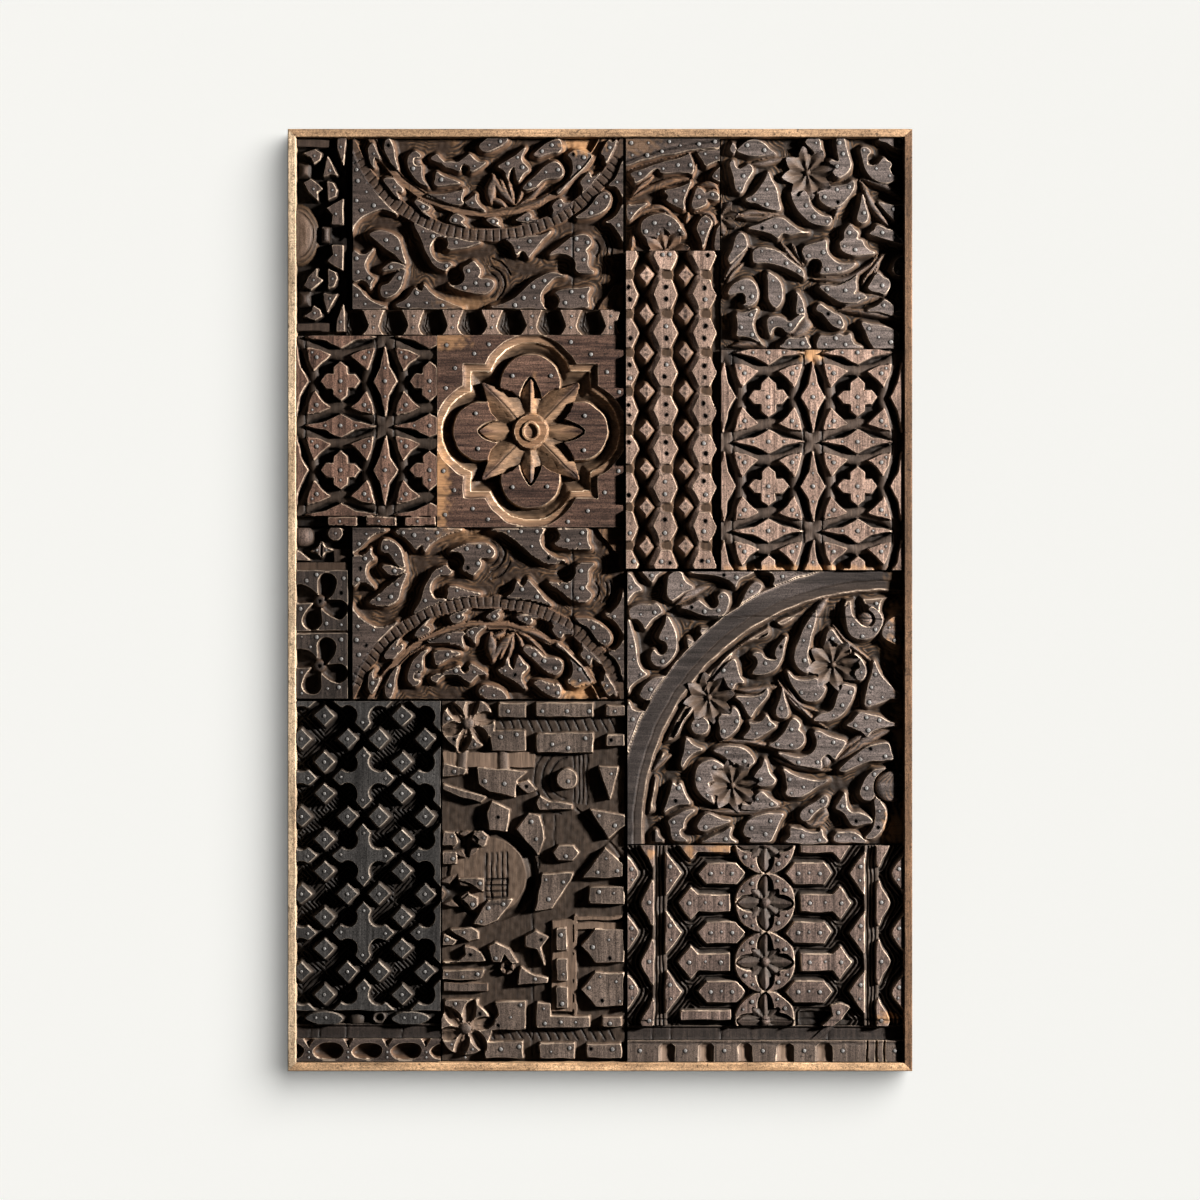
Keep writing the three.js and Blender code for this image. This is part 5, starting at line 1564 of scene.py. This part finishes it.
def frame_rail(node, material):
    """One mitred rail with bevels along its front and a slightly uneven inner edge."""
    low, high = (np.array(corner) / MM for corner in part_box(node))
    upright = high[2] - low[2] > high[0] - low[0]
    along, across = (2, 0) if upright else (0, 2)
    length, width, depth = high[along] - low[along], high[across] - low[across], high[1] - low[1]
    outer_first = low[across] < 0
    rng = random.Random(sum(map(ord, node)))
    steps = 120
    bevel = 0.9
    unevenness = 0.35
    shoulder = depth - bevel
    ring = [(0, 0), (width, 0), (width, shoulder), (width - bevel, depth), (bevel, depth), (0, shoulder)]
    vertices = []
    for k in range(steps + 1):
        for inward, forward in ring:
            inner_front = inward > width / 2 and forward > 1
            inset = inward + (unevenness * rng.uniform(-1, 0) if inner_front else 0)
            point = np.zeros(3)
            point[along] = low[along] + inward + (length - 2 * inward) * k / steps
            point[across] = low[across] + inset if outer_first else high[across] - inset
            point[1] = high[1] - forward
            vertices.append(tuple(point * MM))
    sides = len(ring)
    faces = tube_faces(0, sides, steps)
    faces.append(tuple(range(sides))[::-1])
    faces.append(tuple(steps * sides + s for s in range(sides)))
    if upright == outer_first:
        faces = [corners[::-1] for corners in faces]
    piece = make_piece(node + "_rail", vertices, faces, material)
    # The pale rails throw no light on the carving beside them.
    piece.visible_diffuse = False
    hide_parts(node)
    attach(piece, "root")


def nail_heads(name, nails, material):
    """Domed nail heads, fused into one mesh."""
    sides = 9
    rings = ((1.0, 0.4), (0.95, -0.5), (0.7, -0.8))
    top = -0.9
    vertices = []
    faces = []
    for x, face, z, radius in nails:
        first = len(vertices)
        size = radius / NAIL_RADIUS
        for share, forward in rings:
            for k in range(sides):
                px, pz = around(x, z, share * radius, 360 * k / sides)
                vertices.append((px * MM, (face + forward * size) * MM, pz * MM))
        vertices.append((x * MM, (face + top * size) * MM, z * MM))
        middle = len(vertices) - 1
        faces += tube_faces(first, sides, len(rings) - 1)
        last = middle - sides
        for k in range(sides):
            faces.append((last + k, last + (k + 1) % sides, middle))
        faces.append(tuple(first + k for k in range(sides))[::-1])
    piece = make_piece(name, vertices, faces, material, rounded=True)
    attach(piece, "root")


# The blocks: how each is carved, its slot, its wood, and what else its relief needs.
BLOCKS = {
    "scroll_strip": (carve_scroll_strip, "tan_wood", "soot_wood", {"ground": 15.0}),
    "arch_block_upper": (carve_arch, "dark_wood", "brown_wood", {}),
    "spool_strip_upper": (carve_spools_upper, "tan_wood", "dull_tan_wood", {}),
    "tracery_block_left": (carve_tracery_left, "red_wood", "deep_red_wood", {"ground": 14.0}),
    "rosette_block": (carve_rosette, "walnut_wood", "walnut_wood", {}),
    "star_block": (carve_star, "dark_wood", "soot_wood", {"ground": 12.0}),
    "pinwheel_block": (carve_pinwheels, "dark_wood", "black_wood", {}),
    "arch_block_lower": (carve_arch, "dark_wood", "brown_wood", {"upside_down": True}),
    "lattice_block": (carve_lattice, "charcoal_wood", "charcoal_wood", {"ground": 14.0, "grid": FINE_GRID}),
    "plain_band_left": (carve_band, "dark_wood", "black_wood", {}),
    "spool_strip_lower": (carve_spools_lower, "dark_wood", "brown_wood", {}),
    "mixed_motif_block": (carve_mixed, "grey_wood", "grey_wood", {"ground": 11.5}),
    "leaf_corner_block": (carve_leaf_corner, "dark_wood", "brown_wood", {}),
    "leaf_block": (carve_leaf, "dark_wood", "dark_wood", {}),
    "hexagon_block": (carve_hexagons, "tan_wood", "tan_wood", {"ground": 20.0, "sharp": 14}),
    "tracery_block_right": (carve_tracery_right, "red_wood", "pink_wood", {"ground": 14.0}),
    "quarter_arch_block": (carve_quarter_arch, "dark_wood", "dark_wood", {"grid": FINE_GRID}),
    "geometric_block": (carve_geometric, "red_wood", "dusty_red_wood", {"ground": 12.0, "grid": FINE_GRID}),
    "plain_band_right": (carve_band_right, "dark_wood", "black_wood", {}),
    "dentil_strip": (carve_dentils, "red_wood", "grey_wood", {}),
}

steel = nail_metal()
for node, (carve, slot, look, options) in BLOCKS.items():
    block = Relief(node, **options)
    carve(block)
    spots = block.build(looks[look])
    if spots:
        nail_heads(node + "_nails", spots, steel)

# Dark and light colours of each rail. They differ by side as painted light and shade: the top rail is
# painted darker and the right rail much darker than the left and bottom.
RAILS = {
    "left": ((0.36, 0.25, 0.155), (0.60, 0.455, 0.31)),
    "bottom": ((0.36, 0.225, 0.125), (0.62, 0.41, 0.245)),
    "top": ((0.26, 0.165, 0.095), (0.46, 0.30, 0.18)),
    "right": ((0.09, 0.052, 0.029), (0.19, 0.112, 0.065)),
}
for side, (dark, light) in RAILS.items():
    upright = side in ("left", "right")
    oak = wood("frame_wood_" + side, dark, light, dark, worn=light, upright=upright, grain=0.8)
    frame_rail("frame_" + side, oak)

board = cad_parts["back_board"]
board.data.materials.clear()
board.data.materials.append(wood("board_wood", BOARD_DARK, BOARD_LIGHT, BOARD_DARK, worn=BOARD_WORN))


# Stage, light and camera.

def stage_plane(name, size, place, turn, glow, one_sided=False):
    """A plain pale plane that throws no light on the panel. A one-sided one is clear from behind and lets
    light through, so that it never hides or darkens the panel's back."""
    material, tree, shader = new_material(name)
    set_inputs(tree, shader, {
        "Base Color": opaque(STAGE_COLOUR),
        "Roughness": 0.9,
        "Specular IOR Level": 0.1,
        "Emission Color": opaque(STAGE_COLOUR),
        "Emission Strength": glow,
    })
    half = size / 2
    corners = [(-half, -half, 0), (half, -half, 0), (half, half, 0), (-half, half, 0)]
    plane = make_piece(name, corners, [(0, 1, 2, 3)], material)
    plane.location = place
    plane.rotation_euler = turn
    if one_sided:
        clear = add(tree, "ShaderNodeBsdfTransparent")
        behind = add(tree, "ShaderNodeNewGeometry").outputs["Backfacing"]
        both = add(tree, "ShaderNodeMixShader", {0: behind, 1: shader.outputs[0], 2: clear.outputs[0]})
        tree.links.new(both.outputs[0], tree.nodes["Material Output"].inputs["Surface"])
        plane.visible_shadow = False
    plane.visible_diffuse = False
    plane.visible_glossy = False
    return plane


def studio_light(name, kind, degrees_up, degrees_out, distance, power, **settings):
    """A light that shines on the panel's middle. It stands some degrees above the right-hand side and some
    degrees out from the face."""
    turn, height = math.radians(degrees_up), math.radians(degrees_out)
    flat = math.cos(height)
    away = Vector((flat * math.cos(turn), -math.sin(height), flat * math.sin(turn))) * distance
    data = bpy.data.lights.new(name, kind)
    data.energy = power
    for key, value in settings.items():
        setattr(data, key, value)
    light = bpy.data.objects.new(name, data)
    light.location = away
    light.rotation_euler = (-away).to_track_quat("-Z", "Y").to_euler()
    bpy.context.collection.objects.link(light)
    return light


def choose_receivers(light, planes, state):
    """Let a light reach only the stage planes, or everything but them."""
    group = bpy.data.collections.new(light.name + "_receivers")
    for plane in planes:
        group.objects.link(plane)
    for member in group.collection_objects:
        member.light_linking.link_state = state
    light.light_linking.receiver_collection = group


stage = [
    stage_plane("wall", 8.0, (0, 0.003, 0), (math.pi / 2, 0, 0), glow=0.22, one_sided=True),
    stage_plane("floor", 40.0, (0, 0, -1.6), (0, 0, 0), glow=0.38),
    stage_plane("backdrop", 40.0, (0, -6.5, 0), (-math.pi / 2, 0, 0), glow=0.9, one_sided=True),
]
key = studio_light("key", "AREA", 14, 28, distance=4.5, power=800, size=0.4)
choose_receivers(key, stage, "EXCLUDE")
stage_light = studio_light("stage_light", "SUN", 40, 46, distance=4.0, power=3.5, angle=math.radians(58))
choose_receivers(stage_light, stage, "INCLUDE")
studio_light("fill", "AREA", 165, 40, distance=5.0, power=3, size=3.0)
studio_light("back_fill", "AREA", 60, -50, distance=5.0, power=420, size=3.0)

world = bpy.data.worlds.new("pale_room")
world.use_nodes = True
room = world.node_tree.nodes["Background"]
room.inputs["Color"].default_value = opaque(ROOM_COLOUR)
room.inputs["Strength"].default_value = ROOM_LIGHT
bpy.context.scene.world = world
bpy.context.scene.view_settings.view_transform = "Standard"
bpy.context.scene.view_settings.gamma = PICTURE_GAMMA

camera_data = bpy.data.cameras.new("camera")
camera_data.lens = FOCAL_LENGTH
camera_data.sensor_width = SENSOR_WIDTH
camera = bpy.data.objects.new("camera", camera_data)
face_plane = cad_box[0][1]
camera.location = (0, face_plane - PICTURE_WIDTH * FOCAL_LENGTH / SENSOR_WIDTH, 0)
camera.rotation_euler = (math.pi / 2, 0, 0)
bpy.context.collection.objects.link(camera)
bpy.context.scene.camera = camera
